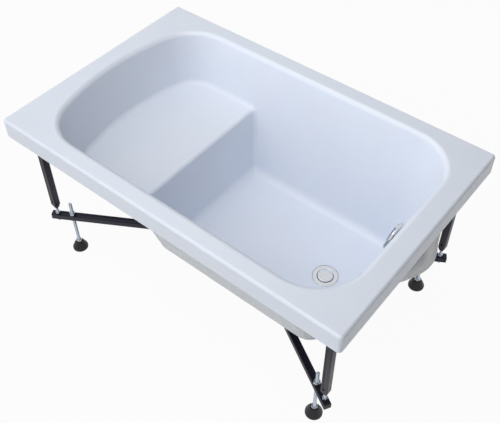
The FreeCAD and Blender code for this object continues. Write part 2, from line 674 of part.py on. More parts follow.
def post(node, x, y):
    body = doc.addObject("PartDesign::Body", node)
    shoulder = "dim.tip_level + dim.pinch_length"
    section = sketch_on(body, f"{node}_section", "XY_Plane", shoulder)
    rectangle(section, "dim.tube_size", "dim.tube_size")
    pad(body, f"{node}_length", section, f"dim.post_top - ({shoulder})")
    fillet(body, f"{node}_corners", "dim.tube_corner_radius", lambda box: box.ZLength > NEAR)
    hollow = sketch_on(body, f"{node}_hollow", "XY_Plane", "dim.post_top")
    inside = "dim.tube_size - 2 * dim.tube_wall"
    rectangle(hollow, inside, inside)
    pocket(body, f"{node}_bore", hollow, f"dim.post_top - ({shoulder})")
    wide = sketch_on(body, f"{node}_pinch_top", "XY_Plane", shoulder)
    rectangle(wide, "dim.tube_size - dim.tube_corner_radius", "dim.tube_size - dim.tube_corner_radius")
    narrow = sketch_on(body, f"{node}_pinch_tip", "XY_Plane", "dim.tip_level")
    rectangle(narrow, "dim.tip_size", "dim.tip_size")
    loft(body, f"{node}_pinch", "PartDesign::AdditiveLoft", wide, narrow)
    bore(body, f"{node}_thread", "dim.stud_radius + dim.thread_clearance",
         "dim.pinch_length + 2 * dim.overrun",
         z="dim.tip_level - dim.overrun")
    eye = sketch_on(body, f"{node}_eye", "XZ_Plane")
    curve = eye.addGeometry(Part.Circle(FreeCAD.Vector(0, size("tip_level"), 0), UP, size("eye_radius")))
    hold_radius(eye, curve, "dim.eye_radius", size("eye_radius"))
    hold(eye, "DistanceX", curve, 3, "0", 0)
    hold(eye, "DistanceY", curve, 3, "dim.tip_level + dim.eye_rise", size("tip_level"))
    pocket(body, f"{node}_eye_cut", eye)
    place(body, x, y)
    return keep(body, node)


def bored_hexagon(name, flats, height, radius, x, y, z):
    outside = hexagon(f"{name}_outside", flats, height, x, y, z)
    thread = cylinder(f"{name}_thread", f"{radius} + dim.thread_clearance", f"{height} + 2 * dim.overrun",
                      x, y, f"{z} - dim.overrun")
    return cut(name, outside, thread)


plates, plate_screws, studs, stud_nuts, inserts, lock_nuts = [], [], [], [], [], []
for corner, (x_sign, y_sign) in CORNERS.items():
    post_x, post_y = f"{x_sign}dim.post_x", f"{y_sign}dim.post_y"
    foot_x = f"{x_sign}dim.foot_reach * cos(dim.bar_turn)"
    foot_y = f"{y_sign}dim.foot_reach * sin(dim.bar_turn)"

    cap = doc.addObject("PartDesign::Body", f"bar_cap_{corner}")
    head = sketch_on(cap, f"cap_head_{corner}", "YZ_Plane", "dim.bar_reach")
    rectangle(head, "dim.tube_size", "dim.tube_size")
    pad(cap, f"cap_head_slab_{corner}", head, "dim.cap_thickness")
    fillet(cap, f"cap_head_corners_{corner}", "dim.tube_corner_radius", lambda box: box.XLength > NEAR)
    stem = sketch_on(cap, f"cap_stem_{corner}", "YZ_Plane", "dim.bar_reach - dim.cap_plug_length")
    fitting = "dim.tube_size - 2 * dim.tube_wall - 2 * dim.cap_clearance"
    rectangle(stem, fitting, fitting)
    pad(cap, f"cap_stem_length_{corner}", stem, "dim.cap_plug_length")
    bore(cap, f"cap_stud_relief_{corner}", "dim.stud_radius + 2 * dim.hole_clearance", "dim.tube_size",
         "dim.post_reach", "0", "-dim.tube_size / 2")
    place(cap, z="dim.bar_bottom + dim.tube_size / 2", turn=TURNS[corner])
    keep(cap, f"bar_cap_{corner}")

    post(f"corner_post_{corner}", post_x, post_y)

    skirt_x = f"{x_sign}(dim.rim_length / 2 - dim.shell_wall - dim.block_clearance - dim.block_length / 2)"
    skirt_y = f"{y_sign}(dim.rim_width / 2 - dim.shell_wall - dim.block_clearance - dim.block_width / 2)"
    wood = block(f"rim_block_{corner}_wood", "dim.block_length", "dim.block_width", "dim.block_thickness",
                 skirt_x, skirt_y, "dim.block_under")
    plate = block(f"plate_slab_{corner}", "dim.plate_length", "dim.plate_width", "dim.plate_thickness",
                  post_x, post_y, "dim.post_top")
    pilots, holes = [], []
    for side in ("", "-"):
        name = f"{corner}_{'inner' if side else 'outer'}"
        screw_y = f"{post_y} + {side}dim.plate_screw_spread"
        shank = cylinder(f"plate_shank_{name}", "dim.screw_radius",
                         "dim.plate_thickness + dim.plate_screw_bite",
                         post_x, screw_y, "dim.post_top")
        head = cylinder(f"plate_head_{name}", "dim.screw_head_radius", "dim.screw_head_height",
                        post_x, screw_y, "dim.post_top - dim.screw_head_height")
        plate_screws.append(fuse(f"plate_screw_{name}", shank, head))
        pilots.append(cylinder(f"plate_pilot_{name}", "dim.screw_radius + dim.hole_clearance",
                               "dim.plate_screw_bite + dim.hole_clearance + dim.overrun",
                               post_x, screw_y, "dim.block_under - dim.overrun"))
        holes.append(cylinder(f"plate_hole_{name}", "dim.screw_radius + dim.hole_clearance",
                              "dim.plate_thickness + 2 * dim.overrun", post_x, screw_y,
                              "dim.post_top - dim.overrun"))
    keep(cut(f"rim_block_{corner}_drilled", wood, *pilots), f"rim_block_{corner}")
    plates.append(cut(f"plate_drilled_{corner}", plate, *holes))

    studs.append(cylinder(f"stud_{corner}", "dim.stud_radius",
                          "dim.stud_below + dim.tube_size + dim.tip_gap + dim.stud_bite",
                          post_x, post_y, "dim.bar_bottom - dim.stud_below"))
    for spot, level in (("over", "dim.bar_top"), ("under", "dim.bar_bottom - dim.stud_nut_height")):
        stud_nuts.append(bored_hexagon(f"stud_nut_{corner}_{spot}", "dim.stud_nut_flats",
                                       "dim.stud_nut_height",
                                       "dim.stud_radius", post_x, post_y, level))

    sleeve = cylinder(f"insert_sleeve_{corner}", "dim.insert_radius", "dim.tube_size",
                      foot_x, foot_y, "dim.bar_bottom")
    flange = cylinder(f"insert_flange_{corner}", "dim.insert_flange_radius", "dim.insert_flange_height",
                      foot_x, foot_y, "dim.bar_bottom - dim.insert_flange_height")
    thread = cylinder(f"insert_thread_{corner}", "dim.rod_radius + dim.thread_clearance",
                      "dim.tube_size + dim.insert_flange_height + 2 * dim.overrun", foot_x, foot_y,
                      "dim.bar_bottom - dim.insert_flange_height - dim.overrun")
    inserts.append(cut(f"insert_{corner}", fuse(f"insert_blank_{corner}", sleeve, flange), thread))
    lock_nuts.append(bored_hexagon(f"lock_nut_{corner}", "dim.foot_nut_flats", "dim.foot_nut_height",
                                   "dim.rod_radius", foot_x, foot_y, "dim.bar_top"))

keep(group("top_plates_group", plates), "post_top_plates")
keep(group("plate_screws_group", plate_screws), "post_top_screws")
keep(group("studs_group", studs), "post_studs")
keep(group("stud_nuts_group", stud_nuts), "post_stud_nuts")
keep(group("inserts_group", inserts), "bar_inserts")
keep(group("lock_nuts_group", lock_nuts), "foot_lock_nuts")

# Four screw feet: a threaded rod that turns in the bar's insert, a nut on it and a pad it stands in.

for corner, (x_sign, y_sign) in CORNERS.items():
    foot_x = f"{x_sign}dim.foot_reach * cos(dim.bar_turn)"
    foot_y = f"{y_sign}dim.foot_reach * sin(dim.bar_turn)"
    socket = "dim.rod_radius + dim.socket_clearance"
    pad_body = revolve(f"foot_pad_{corner}", [
        ("0", "0"), ("dim.pad_radius", "0"), ("dim.pad_radius", "dim.pad_rim_height"),
        ("dim.pad_top_radius", "dim.pad_height"), (socket, "dim.pad_height"), (socket, "dim.rod_seat"),
        ("0", "dim.rod_seat")])
    fillet(pad_body, f"pad_shoulder_{corner}", "dim.pad_rounding",
           lambda box: flat_at(box, size("pad_rim_height")))
    place(pad_body, foot_x, foot_y)
    keep(pad_body, f"foot_pad_{corner}")
    keep(cylinder(f"foot_rod_{corner}_blank", "dim.rod_radius", "dim.rod_top - dim.rod_seat", foot_x,
                  foot_y,
                  "dim.rod_seat"), f"foot_rod_{corner}")
    keep(bored_hexagon(f"foot_nut_{corner}_drilled", "dim.foot_nut_flats", "dim.foot_nut_height",
                       "dim.rod_radius", foot_x, foot_y, "dim.pad_height"), f"foot_nut_{corner}")

# Drain: flange with spokes and hub, its seal in the floor's recess, and the plug on its stem.

flange_body = revolve("flange_turned_part", [
    ("dim.flange_radius", "-dim.flange_thickness"), ("dim.flange_radius", "-dim.flange_chamfer"),
    ("dim.flange_radius - dim.flange_chamfer", "0"), ("dim.flange_cup_radius", "0"),
    ("dim.flange_bore", "-dim.flange_cup_depth"), ("dim.flange_bore", "-dim.flange_tube_depth"),
    ("dim.flange_tube_radius", "-dim.flange_tube_depth"), ("dim.flange_tube_radius",
                                                           "-dim.flange_thickness")])
place(flange_body, "dim.drain_x", "0", "dim.floor_level")
spider_z = "dim.floor_level - dim.flange_tube_depth"
spoke_span = "2 * dim.flange_bore + dim.spider_thickness"
spoke_along = block("spoke_along", spoke_span, "dim.spider_thickness", "dim.spider_height",
                    "dim.drain_x", "0",
                    spider_z)
spoke_across = block("spoke_across", "dim.spider_thickness", spoke_span, "dim.spider_height",
                     "dim.drain_x", "0",
                     spider_z)
hub = cylinder("spider_hub", "dim.hub_radius", "dim.spider_height", "dim.drain_x", "0", spider_z)
guide = cylinder("stem_guide", "dim.stem_radius + dim.guide_clearance",
                 "dim.spider_height + 2 * dim.overrun", "dim.drain_x", "0", f"{spider_z} - dim.overrun")
flange_blank = fuse("drain_flange_blank", flange_body, spoke_along, spoke_across, hub)
keep(cut("drain_flange_bored", flange_blank, guide), "drain_flange")


def ring(name, outer, inner, height, x="0", y="0", z="0", turn=None, axis=UP):
    outside = cylinder(f"{name}_outside", outer, height, x, y, z, turn, axis)
    inside = cylinder(f"{name}_inside", inner, height, x, y, z, turn, axis)
    return cut(name, outside, inside)


keep(ring("drain_seal_ring", "dim.flange_radius - dim.flange_chamfer", "dim.drain_hole_radius",
          "dim.recess_depth - dim.flange_thickness", "dim.drain_x", "0",
          "dim.floor_level - dim.recess_depth"),
     "drain_upper_seal")
keep(ring("drain_lower_ring", "dim.drain_body_flange - dim.flange_chamfer",
          "dim.flange_tube_radius + dim.guide_clearance",
          "dim.drain_seal_height", "dim.drain_x", "0", "dim.drain_mouth"), "drain_lower_seal")

plug = revolve("drain_plug", [
    ("0", "0"), ("dim.plug_radius - dim.plug_edge_radius", "0"), ("dim.plug_radius",
                                                                  "dim.plug_edge_radius"),
    ("dim.plug_radius", "dim.plug_thickness"), ("0", "dim.plug_thickness")])
fillet(plug, "plug_top_edge", "dim.plug_edge_radius", lambda box: flat_at(box, size("plug_thickness")))
place(plug, "dim.drain_x", "0", "dim.plug_top - dim.plug_thickness")
keep(plug, "drain_plug")
seal_z = "dim.plug_top - dim.plug_thickness - dim.plug_seal_height"
keep(ring("plug_seal_ring", "dim.plug_seal_radius - dim.guide_clearance", "dim.plug_seal_bore",
          "dim.plug_seal_height", "dim.drain_x", "0", seal_z), "plug_seal")
stem_z = "dim.plug_top - dim.plug_thickness - dim.stem_length"
stem_rod = cylinder("stem_rod", "dim.stem_radius", "dim.stem_length", "dim.drain_x", "0", stem_z)
stem_collar = cylinder("stem_collar", "dim.plug_seal_bore", "dim.plug_seal_height", "dim.drain_x", "0",
                       seal_z)
keep(fuse("stem_fused", stem_rod, stem_collar), "plug_stem")
keep(cylinder("lift_pin_rod", "dim.pin_radius", "dim.pin_length", "dim.drain_x", "0",
              f"{stem_z} - dim.pin_length"), "lift_pin")

# Drain body: collar screwed on the flange tube, cup, cable gland below, spigots to hose and trap.

drain_wall = "(dim.drain_body_radius - dim.plastic_wall)"
collar = "(dim.flange_tube_radius + dim.thread_clearance)"
mouth = "dim.drain_mouth"
cup_body = revolve("drain_cup", [
    (collar, mouth), ("dim.drain_body_flange", mouth),
    ("dim.drain_body_flange", f"{mouth} - dim.drain_flange_height"),
    ("dim.drain_body_radius", f"{mouth} - dim.drain_flange_height"),
    ("dim.drain_body_radius", "dim.drain_bottom"), ("dim.gland_radius", "dim.drain_bottom"),
    ("dim.gland_radius", "dim.drain_bottom - dim.gland_length"),
    ("dim.pin_radius + dim.guide_clearance", "dim.drain_bottom - dim.gland_length"),
    ("dim.pin_radius + dim.guide_clearance", "dim.drain_bottom + dim.plastic_wall"),
    (drain_wall, "dim.drain_bottom + dim.plastic_wall"),
    (drain_wall, "dim.floor_level - dim.flange_tube_depth"), (collar,
                                                              "dim.floor_level - dim.flange_tube_depth")])
place(cup_body, "dim.drain_x")
joint_x = "(dim.drain_x - dim.drain_body_radius + dim.trap_x + dim.trap_radius) / 2"
to_trap = f"dim.drain_x - dim.drain_body_radius / 2 - {joint_x}"
trap_spigot = cylinder("trap_spigot", "dim.inlet_radius", to_trap, joint_x, "0", "dim.inlet_level",
                       "90", SIDEWAYS)
trap_passage = cylinder("trap_passage", "dim.inlet_radius - dim.plastic_wall", f"{to_trap} + dim.overrun",
                        f"{joint_x} - dim.overrun", "0", "dim.inlet_level", "90", SIDEWAYS)
hose_way = FreeCAD.Vector(math.cos(angle("hose_turn")), math.sin(angle("hose_turn")), 0)
spigot_axis = UP.cross(hose_way)


def along_hose(distance):
    return (f"dim.drain_x + ({distance}) * cos(dim.hose_turn)", f"({distance}) * sin(dim.hose_turn)",
            "dim.hose_level")


spigot_reach = "dim.drain_body_radius / 2 + dim.spigot_length"
hose_spigot = cylinder("hose_spigot", "dim.spigot_radius", spigot_reach,
                       *along_hose("dim.drain_body_radius / 2"), "90", spigot_axis)
hose_passage = cylinder("hose_passage", "dim.spigot_radius - dim.plastic_wall",
                        f"{spigot_reach} + dim.overrun",
                        *along_hose("dim.drain_body_radius / 2"), "90", spigot_axis)
drain_blank = fuse("drain_body_blank", cup_body, trap_spigot, hose_spigot)
drain_hollow = cylinder("drain_hollow", drain_wall,
                        "dim.floor_level - dim.flange_tube_depth - dim.drain_bottom - dim.plastic_wall",
                        "dim.drain_x", "0", "dim.drain_bottom + dim.plastic_wall")
keep(cut("drain_body_cut", drain_blank, trap_passage, hose_passage, drain_hollow), "drain_body")
keep(ring("lower_hose_ring", "dim.spigot_radius + dim.union_wall",
          "dim.spigot_radius + dim.thread_clearance",
          "dim.spigot_length", *along_hose("dim.drain_body_radius"), "90", spigot_axis), "hose_nut_lower")

# Trap: bottle with inlet and outlet spigots, clean-out cup, union nuts.

trap_wall = "(dim.trap_radius - dim.plastic_wall)"
bottle = revolve("trap_bottle", [
    ("0", "dim.trap_top"), ("dim.trap_radius", "dim.trap_top"), ("dim.trap_radius", "dim.trap_split"),
    (trap_wall, "dim.trap_split"), (trap_wall, "dim.trap_top - dim.plastic_wall"),
    ("0", "dim.trap_top - dim.plastic_wall")])
fillet(bottle, "bottle_top_edge", "dim.plastic_wall", lambda box: flat_at(box, size("trap_top")))
place(bottle, "dim.trap_x")
inlet = cylinder("trap_inlet", "dim.inlet_radius", f"{joint_x} - dim.trap_x - dim.trap_radius / 2",
                 "dim.trap_x + dim.trap_radius / 2", "0", "dim.inlet_level", "90", SIDEWAYS)
inlet_bore = cylinder("trap_inlet_bore", "dim.inlet_radius - dim.plastic_wall", f"{joint_x} - dim.trap_x",
                      "dim.trap_x", "0", "dim.inlet_level", "90", SIDEWAYS)
outlet = cylinder("trap_outlet", "dim.outlet_radius", "dim.outlet_reach - dim.trap_radius / 2",
                  "dim.trap_x",
                  "dim.trap_radius / 2", "dim.outlet_level", "-90", LENGTHWAYS)
outlet_bore = cylinder("trap_outlet_bore", "dim.outlet_radius - dim.plastic_wall", "dim.outlet_reach",
                       "dim.trap_x", "0", "dim.outlet_level", "-90", LENGTHWAYS)
bottle_hollow = cylinder("bottle_hollow", trap_wall, "dim.trap_top - dim.plastic_wall - dim.trap_split",
                         "dim.trap_x", "0", "dim.trap_split")
outlet_boss = cylinder("trap_outlet_boss", "dim.outlet_boss_radius",
                       "dim.outlet_reach - dim.outlet_spigot_length - dim.trap_radius / 2", "dim.trap_x",
                       "dim.trap_radius / 2", "dim.outlet_level", "-90", LENGTHWAYS)
bottle_blank = fuse("bottle_blank", bottle, inlet, outlet, outlet_boss)
keep(cut("trap_body_cut", bottle_blank, inlet_bore, outlet_bore, bottle_hollow), "trap_body")
cup_bore = "dim.trap_radius + dim.cup_clearance"
clean_out = revolve("clean_out", [
    ("0", "dim.cup_bottom"), ("dim.trap_radius", "dim.cup_bottom"),
    (f"{cup_bore} + dim.plastic_wall", "dim.cup_bottom + dim.plastic_wall"),
    (f"{cup_bore} + dim.plastic_wall", "dim.trap_split + dim.cup_overlap"),
    (cup_bore, "dim.trap_split + dim.cup_overlap"), (cup_bore, "dim.trap_split"),
    (trap_wall, "dim.trap_split"), (trap_wall, "dim.cup_bottom + dim.plastic_wall"),
    ("0", "dim.cup_bottom + dim.plastic_wall")])
place(clean_out, "dim.trap_x")
keep(clean_out, "trap_cup")
keep(ring("trap_union_ring", "dim.inlet_radius + dim.union_wall", "dim.inlet_radius + dim.thread_clearance",
          "dim.union_length", f"{joint_x} - dim.union_length / 2", "0", "dim.inlet_level", "90", SIDEWAYS),
     "trap_union_nut")
keep(ring("outlet_ring", "dim.outlet_boss_radius + dim.union_wall",
          "dim.outlet_boss_radius + dim.thread_clearance", "dim.union_length", "dim.trap_x",
          "dim.outlet_reach - dim.outlet_spigot_length - dim.union_length",
          "dim.outlet_level", "-90", LENGTHWAYS), "outlet_nut")


# Overflow, built along its own axis, which stands square to the leaning wall: +Z into the basin.

def on_wall(thing):
    return place(thing, "dim.overflow_x", "0", "dim.overflow_z", "dim.wall_draft - 90", SIDEWAYS)


def behind_wall(x, y, z):
    """Where a point of the overflow's own axes lies in the tub's."""
    return (f"dim.overflow_x + ({x}) * sin(dim.wall_draft) - ({z}) * cos(dim.wall_draft)", y,
            f"dim.overflow_z + ({x}) * cos(dim.wall_draft) + ({z}) * sin(dim.wall_draft)")


body_front = "-(dim.wall_back + dim.overflow_seal_height)"
body_inside = "(dim.overflow_body_radius - dim.plastic_wall)"
bearing = "dim.spindle_radius + dim.guide_clearance"
housing = on_wall(revolve("overflow_housing", [
    ("dim.neck_bore", "0"), ("dim.neck_radius", "0"), ("dim.neck_radius", body_front),
    ("dim.overflow_body_radius", body_front), ("dim.overflow_body_radius", "-dim.overflow_body_depth"),
    (bearing, "-dim.overflow_body_depth"), (bearing, "dim.boss_length - dim.overflow_body_depth"),
    ("dim.boss_radius", "dim.boss_length - dim.overflow_body_depth"),
    ("dim.boss_radius", "dim.plastic_wall - dim.overflow_body_depth"),
    (body_inside, "dim.plastic_wall - dim.overflow_body_depth"),
    (body_inside, f"{body_front} - dim.plastic_wall"), ("dim.neck_bore",
                                                        f"{body_front} - dim.plastic_wall")]))
spigot_place = behind_wall("0", "dim.overflow_body_radius - 2 * dim.plastic_wall", "-dim.spigot_setback")
upper_reach = "2 * dim.plastic_wall + dim.spigot_length"
upper_spigot = cylinder("upper_spigot", "dim.spigot_radius", upper_reach, *spigot_place, "-90", LENGTHWAYS)
upper_passage = cylinder("upper_passage", "dim.spigot_radius - dim.plastic_wall",
                         f"{upper_reach} + dim.overrun",
                         *spigot_place, "-90", LENGTHWAYS)
gland_x = "-(dim.overflow_body_radius + dim.gland_length)"
upper_gland = cylinder("upper_gland", "dim.gland_radius", "dim.gland_length + dim.plastic_wall",
                       *behind_wall(gland_x, "0", "-dim.spigot_setback"), "dim.wall_draft", SIDEWAYS)
gland_bore = cylinder("upper_gland_bore", "dim.gland_bore", "dim.gland_length + dim.plastic_wall",
                      *behind_wall(gland_x, "0", "-dim.spigot_setback"), "dim.wall_draft", SIDEWAYS)
housing_blank = fuse("overflow_body_blank", housing, upper_spigot, upper_gland)
keep(cut("overflow_body_cut", housing_blank, upper_passage, gland_bore), "overflow_body")
keep(ring("upper_hose_ring", "dim.spigot_radius + dim.union_wall",
          "dim.spigot_radius + dim.thread_clearance",
          "dim.spigot_length", *behind_wall("0", "dim.overflow_body_radius", "-dim.spigot_setback"), "-90",
          LENGTHWAYS), "hose_nut_upper")
seal_inner = "dim.neck_radius + dim.guide_clearance"
keep(on_wall(revolve("overflow_seal_ring", [
    (seal_inner, "-dim.wall_back"), ("dim.overflow_seal_radius", "-dim.wall_back"),
    ("dim.overflow_seal_radius", body_front), (seal_inner, body_front)])), "overflow_seal")
keep(on_wall(revolve("rosette", [
    (bearing, "0"), ("dim.rosette_radius", "0"), ("dim.rosette_radius", "dim.rosette_thickness"),
    (bearing, "dim.rosette_thickness")])), "overflow_rosette")
disc = revolve("knob_disc", [
    ("0", "dim.knob_face - dim.knob_thickness"), ("dim.knob_radius", "dim.knob_face - dim.knob_thickness"),
    ("dim.knob_radius", "dim.knob_face"), ("0", "dim.knob_face")])
fillet(disc, "knob_face_edge", "dim.knob_edge_radius", lambda box: flat_at(box, size("knob_face")))
grip_sketch = sketch_on(disc, "grip_outline", "XY_Plane", "dim.knob_face - dim.overrun / 2")
grip = size("grip_radius")
grip_sketch.addGeometry([arc(0, 0, grip, 0, 180), line(-grip, 0, grip, 0)])
grip_sketch.addConstraint(Sketcher.Constraint("Coincident", 0, 2, 1, 1))
grip_sketch.addConstraint(Sketcher.Constraint("Coincident", 1, 2, 0, 1))
grip_sketch.addConstraint(Sketcher.Constraint("Coincident", 0, 3, -1, 1))
grip_sketch.addConstraint(Sketcher.Constraint("Horizontal", 1))
hold_radius(grip_sketch, 0, "dim.grip_radius", grip)
pad(disc, "grip", grip_sketch, "dim.grip_height + dim.overrun / 2")
keep(on_wall(disc), "overflow_knob")
spindle_back = "-dim.overflow_body_depth + dim.plastic_wall"
spindle_place = behind_wall("0", "0", spindle_back)
keep(cylinder("spindle_rod", "dim.spindle_radius", f"dim.knob_face - dim.knob_thickness - ({spindle_back})",
              *spindle_place, "dim.wall_draft - 90", SIDEWAYS), "knob_spindle")
doc.recompute()


# Overflow hose: straight runs joined by arcs, from the overflow's spigot to the drain body's.

def route(points, name):
    """Wire of runs and tangent arcs; each arc is as large as its two runs allow. Prints the radii."""
    edges, radii, start = [], [], points[0]
    for before, corner, after in zip(points, points[1:], points[2:]):
        to_corner, to_after = corner - before, after - corner
        half_turn = to_corner.getAngle(to_after) / 2
        tangent = 0.45 * min(to_corner.Length, to_after.Length)
        radii.append(tangent / math.tan(half_turn))
        arc_start = corner - to_corner.normalize() * tangent
        arc_end = corner + to_after.normalize() * tangent
        centre_way = (to_after - to_corner).normalize()
        middle = corner + centre_way * (radii[-1] / math.cos(half_turn) - radii[-1])
        edges.append(Part.LineSegment(start, arc_start).toShape())
        edges.append(Part.Arc(arc_start, middle, arc_end).toShape())
        start = arc_end
    edges.append(Part.LineSegment(start, points[-1]).toShape())
    wire = Part.Wire(edges)
    print(f"{name}: length {wire.Length:.0f} mm, bend radii {[round(r) for r in radii]}")
    return wire


def station(wire, distance):
    """Point and direction at a distance along the wire."""
    for edge in wire.OrderedEdges:
        if distance <= edge.Length + NEAR:
            parameter = edge.getParameterByLength(min(distance, edge.Length))
            return edge.valueAt(parameter), edge.tangentAt(parameter)
        distance -= edge.Length
    return edge.valueAt(edge.LastParameter), edge.tangentAt(edge.LastParameter)


def round_section(wire, distance, radius):
    """Circle square to the wire, with its X axis kept level."""
    point, way = station(wire, distance)
    across = way.cross(SPREAD).normalize()
    turn = FreeCAD.Rotation(across, way.cross(across), way, "ZXY")
    section = Part.Wire(Part.Circle(FreeCAD.Vector(), UP, radius).toShape())
    section.Placement = FreeCAD.Placement(point, turn)
    return section


def tube(wire, radius):
    point, way = station(wire, 0)
    return wire.makePipeShell([Part.Wire(Part.Circle(point, way, radius).toShape())], True, False)


def solid_node(node, shape):
    thing = doc.addObject("Part::Feature", node)
    thing.Shape = shape
    return keep(thing, node)


lean = angle("wall_draft")
spigot_x = size("overflow_x") + size("spigot_setback") * math.cos(lean)
spigot_z = size("overflow_z") - size("spigot_setback") * math.sin(lean)
hose_start = FreeCAD.Vector(spigot_x, size("overflow_body_radius") + size("spigot_length"), spigot_z)
hose_end = FreeCAD.Vector(size("drain_x"), 0, size("hose_level")) + hose_way * (
    size("drain_body_radius") + size("spigot_length"))
HOSE_POINTS = [(505, 153, 448), (502, 168, 391), (500, 172, 328), (504, 184, 266),
               (490, 186, 206), (458, 164, 165), (414, 122, 138)]
hose_lead = hose_start + FreeCAD.Vector(0, size("hose_lead"), 0)
hose_route = route([hose_start, hose_lead] + [FreeCAD.Vector(*p) for p in HOSE_POINTS]
                   + [hose_end + hose_way * size("hose_crest_radius") * 2, hose_end], "overflow hose")
SPREAD = FreeCAD.Vector(1, -1, 0.2).normalize()
end_length = 2 * size("hose_crest_radius")
rib_count = round((hose_route.Length - 2 * end_length) / size("hose_rib_pitch"))
pitch = (hose_route.Length - 2 * end_length) / rib_count
root, crest = size("hose_root_radius"), size("hose_crest_radius")
RIB_SHARES = ((0.15, False), (0.35, True), (0.65, True), (0.85, False))
sections = [round_section(hose_route, 0, root)]
for rib in range(rib_count):
    for share, raised in RIB_SHARES:
        sections.append(round_section(hose_route, end_length + (rib + share) * pitch,
                                      crest if raised else root))
sections.append(round_section(hose_route, hose_route.Length, root))
hose_outside = Part.makeLoft(sections, True, True)
hose_bore = tube(hose_route, size("hose_bore_radius"))
solid_node("overflow_hose", hose_outside.cut(hose_bore))
doc.recompute()

failed = [item.Label for item in doc.Objects if {"Invalid", "Error"} & set(item.State)]
faulty = [item.Label for item in pieces if item.Shape.isNull() or not item.Shape.isValid()]
if failed or faulty:
    raise RuntimeError(f"failed objects {failed}, faulty shapes {faulty}")

os.makedirs("parts", exist_ok=True)
for item in pieces:
    item.Shape.exportStep(os.path.join("parts", f"{item.Label}.step"))
print(f"{len(pieces)} pieces written")
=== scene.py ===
"""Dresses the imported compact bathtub: acrylic tub with a moulded seat on a crossed steel frame."""

import json
import math

import bmesh
import bpy
import numpy as np
from mathutils import Matrix, Vector

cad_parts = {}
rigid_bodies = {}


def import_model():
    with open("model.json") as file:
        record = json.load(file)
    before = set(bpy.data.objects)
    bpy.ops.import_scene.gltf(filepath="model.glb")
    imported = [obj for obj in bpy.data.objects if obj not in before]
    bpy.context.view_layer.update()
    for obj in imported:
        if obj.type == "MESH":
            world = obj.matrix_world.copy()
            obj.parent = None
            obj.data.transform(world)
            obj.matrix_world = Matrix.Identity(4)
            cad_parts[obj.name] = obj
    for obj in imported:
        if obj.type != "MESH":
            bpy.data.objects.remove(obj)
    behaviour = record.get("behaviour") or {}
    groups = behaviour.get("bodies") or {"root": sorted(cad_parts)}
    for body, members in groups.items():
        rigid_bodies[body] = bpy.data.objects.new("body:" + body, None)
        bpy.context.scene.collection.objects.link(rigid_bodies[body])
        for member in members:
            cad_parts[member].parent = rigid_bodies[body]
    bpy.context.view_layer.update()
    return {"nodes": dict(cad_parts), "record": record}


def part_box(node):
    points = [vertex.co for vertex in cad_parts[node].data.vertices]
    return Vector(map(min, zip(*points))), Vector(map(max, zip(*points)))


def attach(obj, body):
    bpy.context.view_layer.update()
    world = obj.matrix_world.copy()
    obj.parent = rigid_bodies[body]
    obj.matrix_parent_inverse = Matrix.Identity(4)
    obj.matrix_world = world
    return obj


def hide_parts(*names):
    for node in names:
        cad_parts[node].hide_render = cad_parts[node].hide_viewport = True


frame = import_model()


# Viewpoint of the photograph: a standing eye in front of the drain end, looking down on the near
# long side, found from the rim's four corners, the skirt's lower corners and the drain.

view_azimuth, view_elevation, view_roll = (math.radians(a) for a in (39.89, 46.07, -0.94))
view_target = Vector((0.11089, -0.13642, 0.545))
view_distance = 1.86784

back = Vector((math.sin(view_azimuth) * math.cos(view_elevation),
               -math.cos(view_azimuth) * math.cos(view_elevation), math.sin(view_elevation)))
level = (-back).cross(Vector((0, 0, 1))).normalized()
right = level * math.cos(view_roll) + back.cross(level) * math.sin(view_roll)
view_axes = Matrix((right, back.cross(right), back)).transposed()


def placed(name, data):
    """New object that holds the data, linked to the scene."""
    thing = bpy.data.objects.new(name, data)
    bpy.context.scene.collection.objects.link(thing)
    return thing


camera = placed("camera", bpy.data.cameras.new("camera"))
camera.matrix_world = Matrix.Translation(view_target + back * view_distance) @ view_axes.to_4x4()
camera.data.sensor_width = 36
camera.data.lens = 54.81
camera.data.shift_x, camera.data.shift_y = 0.016, -0.0534
camera.data.clip_end = 50
bpy.context.scene.camera = camera


# Overflow hose: ribbed polypropylene tube, extruded and corrugated, pushed over the overflow's
# spigot and, at the other end, over the drain body's. Each end is plain for one diameter.

hose_points = [(0.50555, 0.054, 0.47832), (0.50555, 0.112, 0.47832), (0.505, 0.153, 0.448),
              (0.502, 0.168, 0.391), (0.500, 0.172, 0.328), (0.504, 0.184, 0.266), (0.490, 0.186, 0.206),
              (0.458, 0.164, 0.165), (0.414, 0.122, 0.138), (0.36372, 0.05727, 0.121),
              (0.33419, 0.03335, 0.121)]
hose_crest = 0.019
hose_form = {"Root radius": 0.017, "Crest radius": hose_crest, "Rib pitch": 0.006,
             "Plain end": 2 * hose_crest}


def linear(colour):
    """Linear red, green, blue and alpha of an sRGB hex colour."""
    parts = [int(colour[i:i + 2], 16) / 255 for i in (1, 3, 5)]
    return [p / 12.92 if p <= 0.04045 else ((p + 0.055) / 1.055) ** 2.4 for p in parts] + [1.0]


def add(tree, kind, inputs=None, **settings):
    """Adds a node with its settings; an input takes a value or another node's output."""
    node = tree.nodes.new(kind)
    for name, value in settings.items():
        setattr(node, name, value)
    for name, value in (inputs or {}).items():
        if isinstance(value, bpy.types.NodeSocket):
            tree.links.new(value, node.inputs[name])
        else:
            node.inputs[name].default_value = value
    return node


def material(name):
    """New empty material for a slot, its tree, and the Object coordinates that its patterns read."""
    made = bpy.data.materials.new(name)
    made.use_nodes = True
    made.node_tree.nodes.clear()
    coordinates = add(made.node_tree, "ShaderNodeTexCoord")
    return made, made.node_tree, coordinates.outputs["Object"]


def surface(tree, inputs):
    """The tree's Principled surface, joined to its output."""
    shader = add(tree, "ShaderNodeBsdfPrincipled", inputs)
    add(tree, "ShaderNodeOutputMaterial", {"Surface": shader.outputs["BSDF"]})


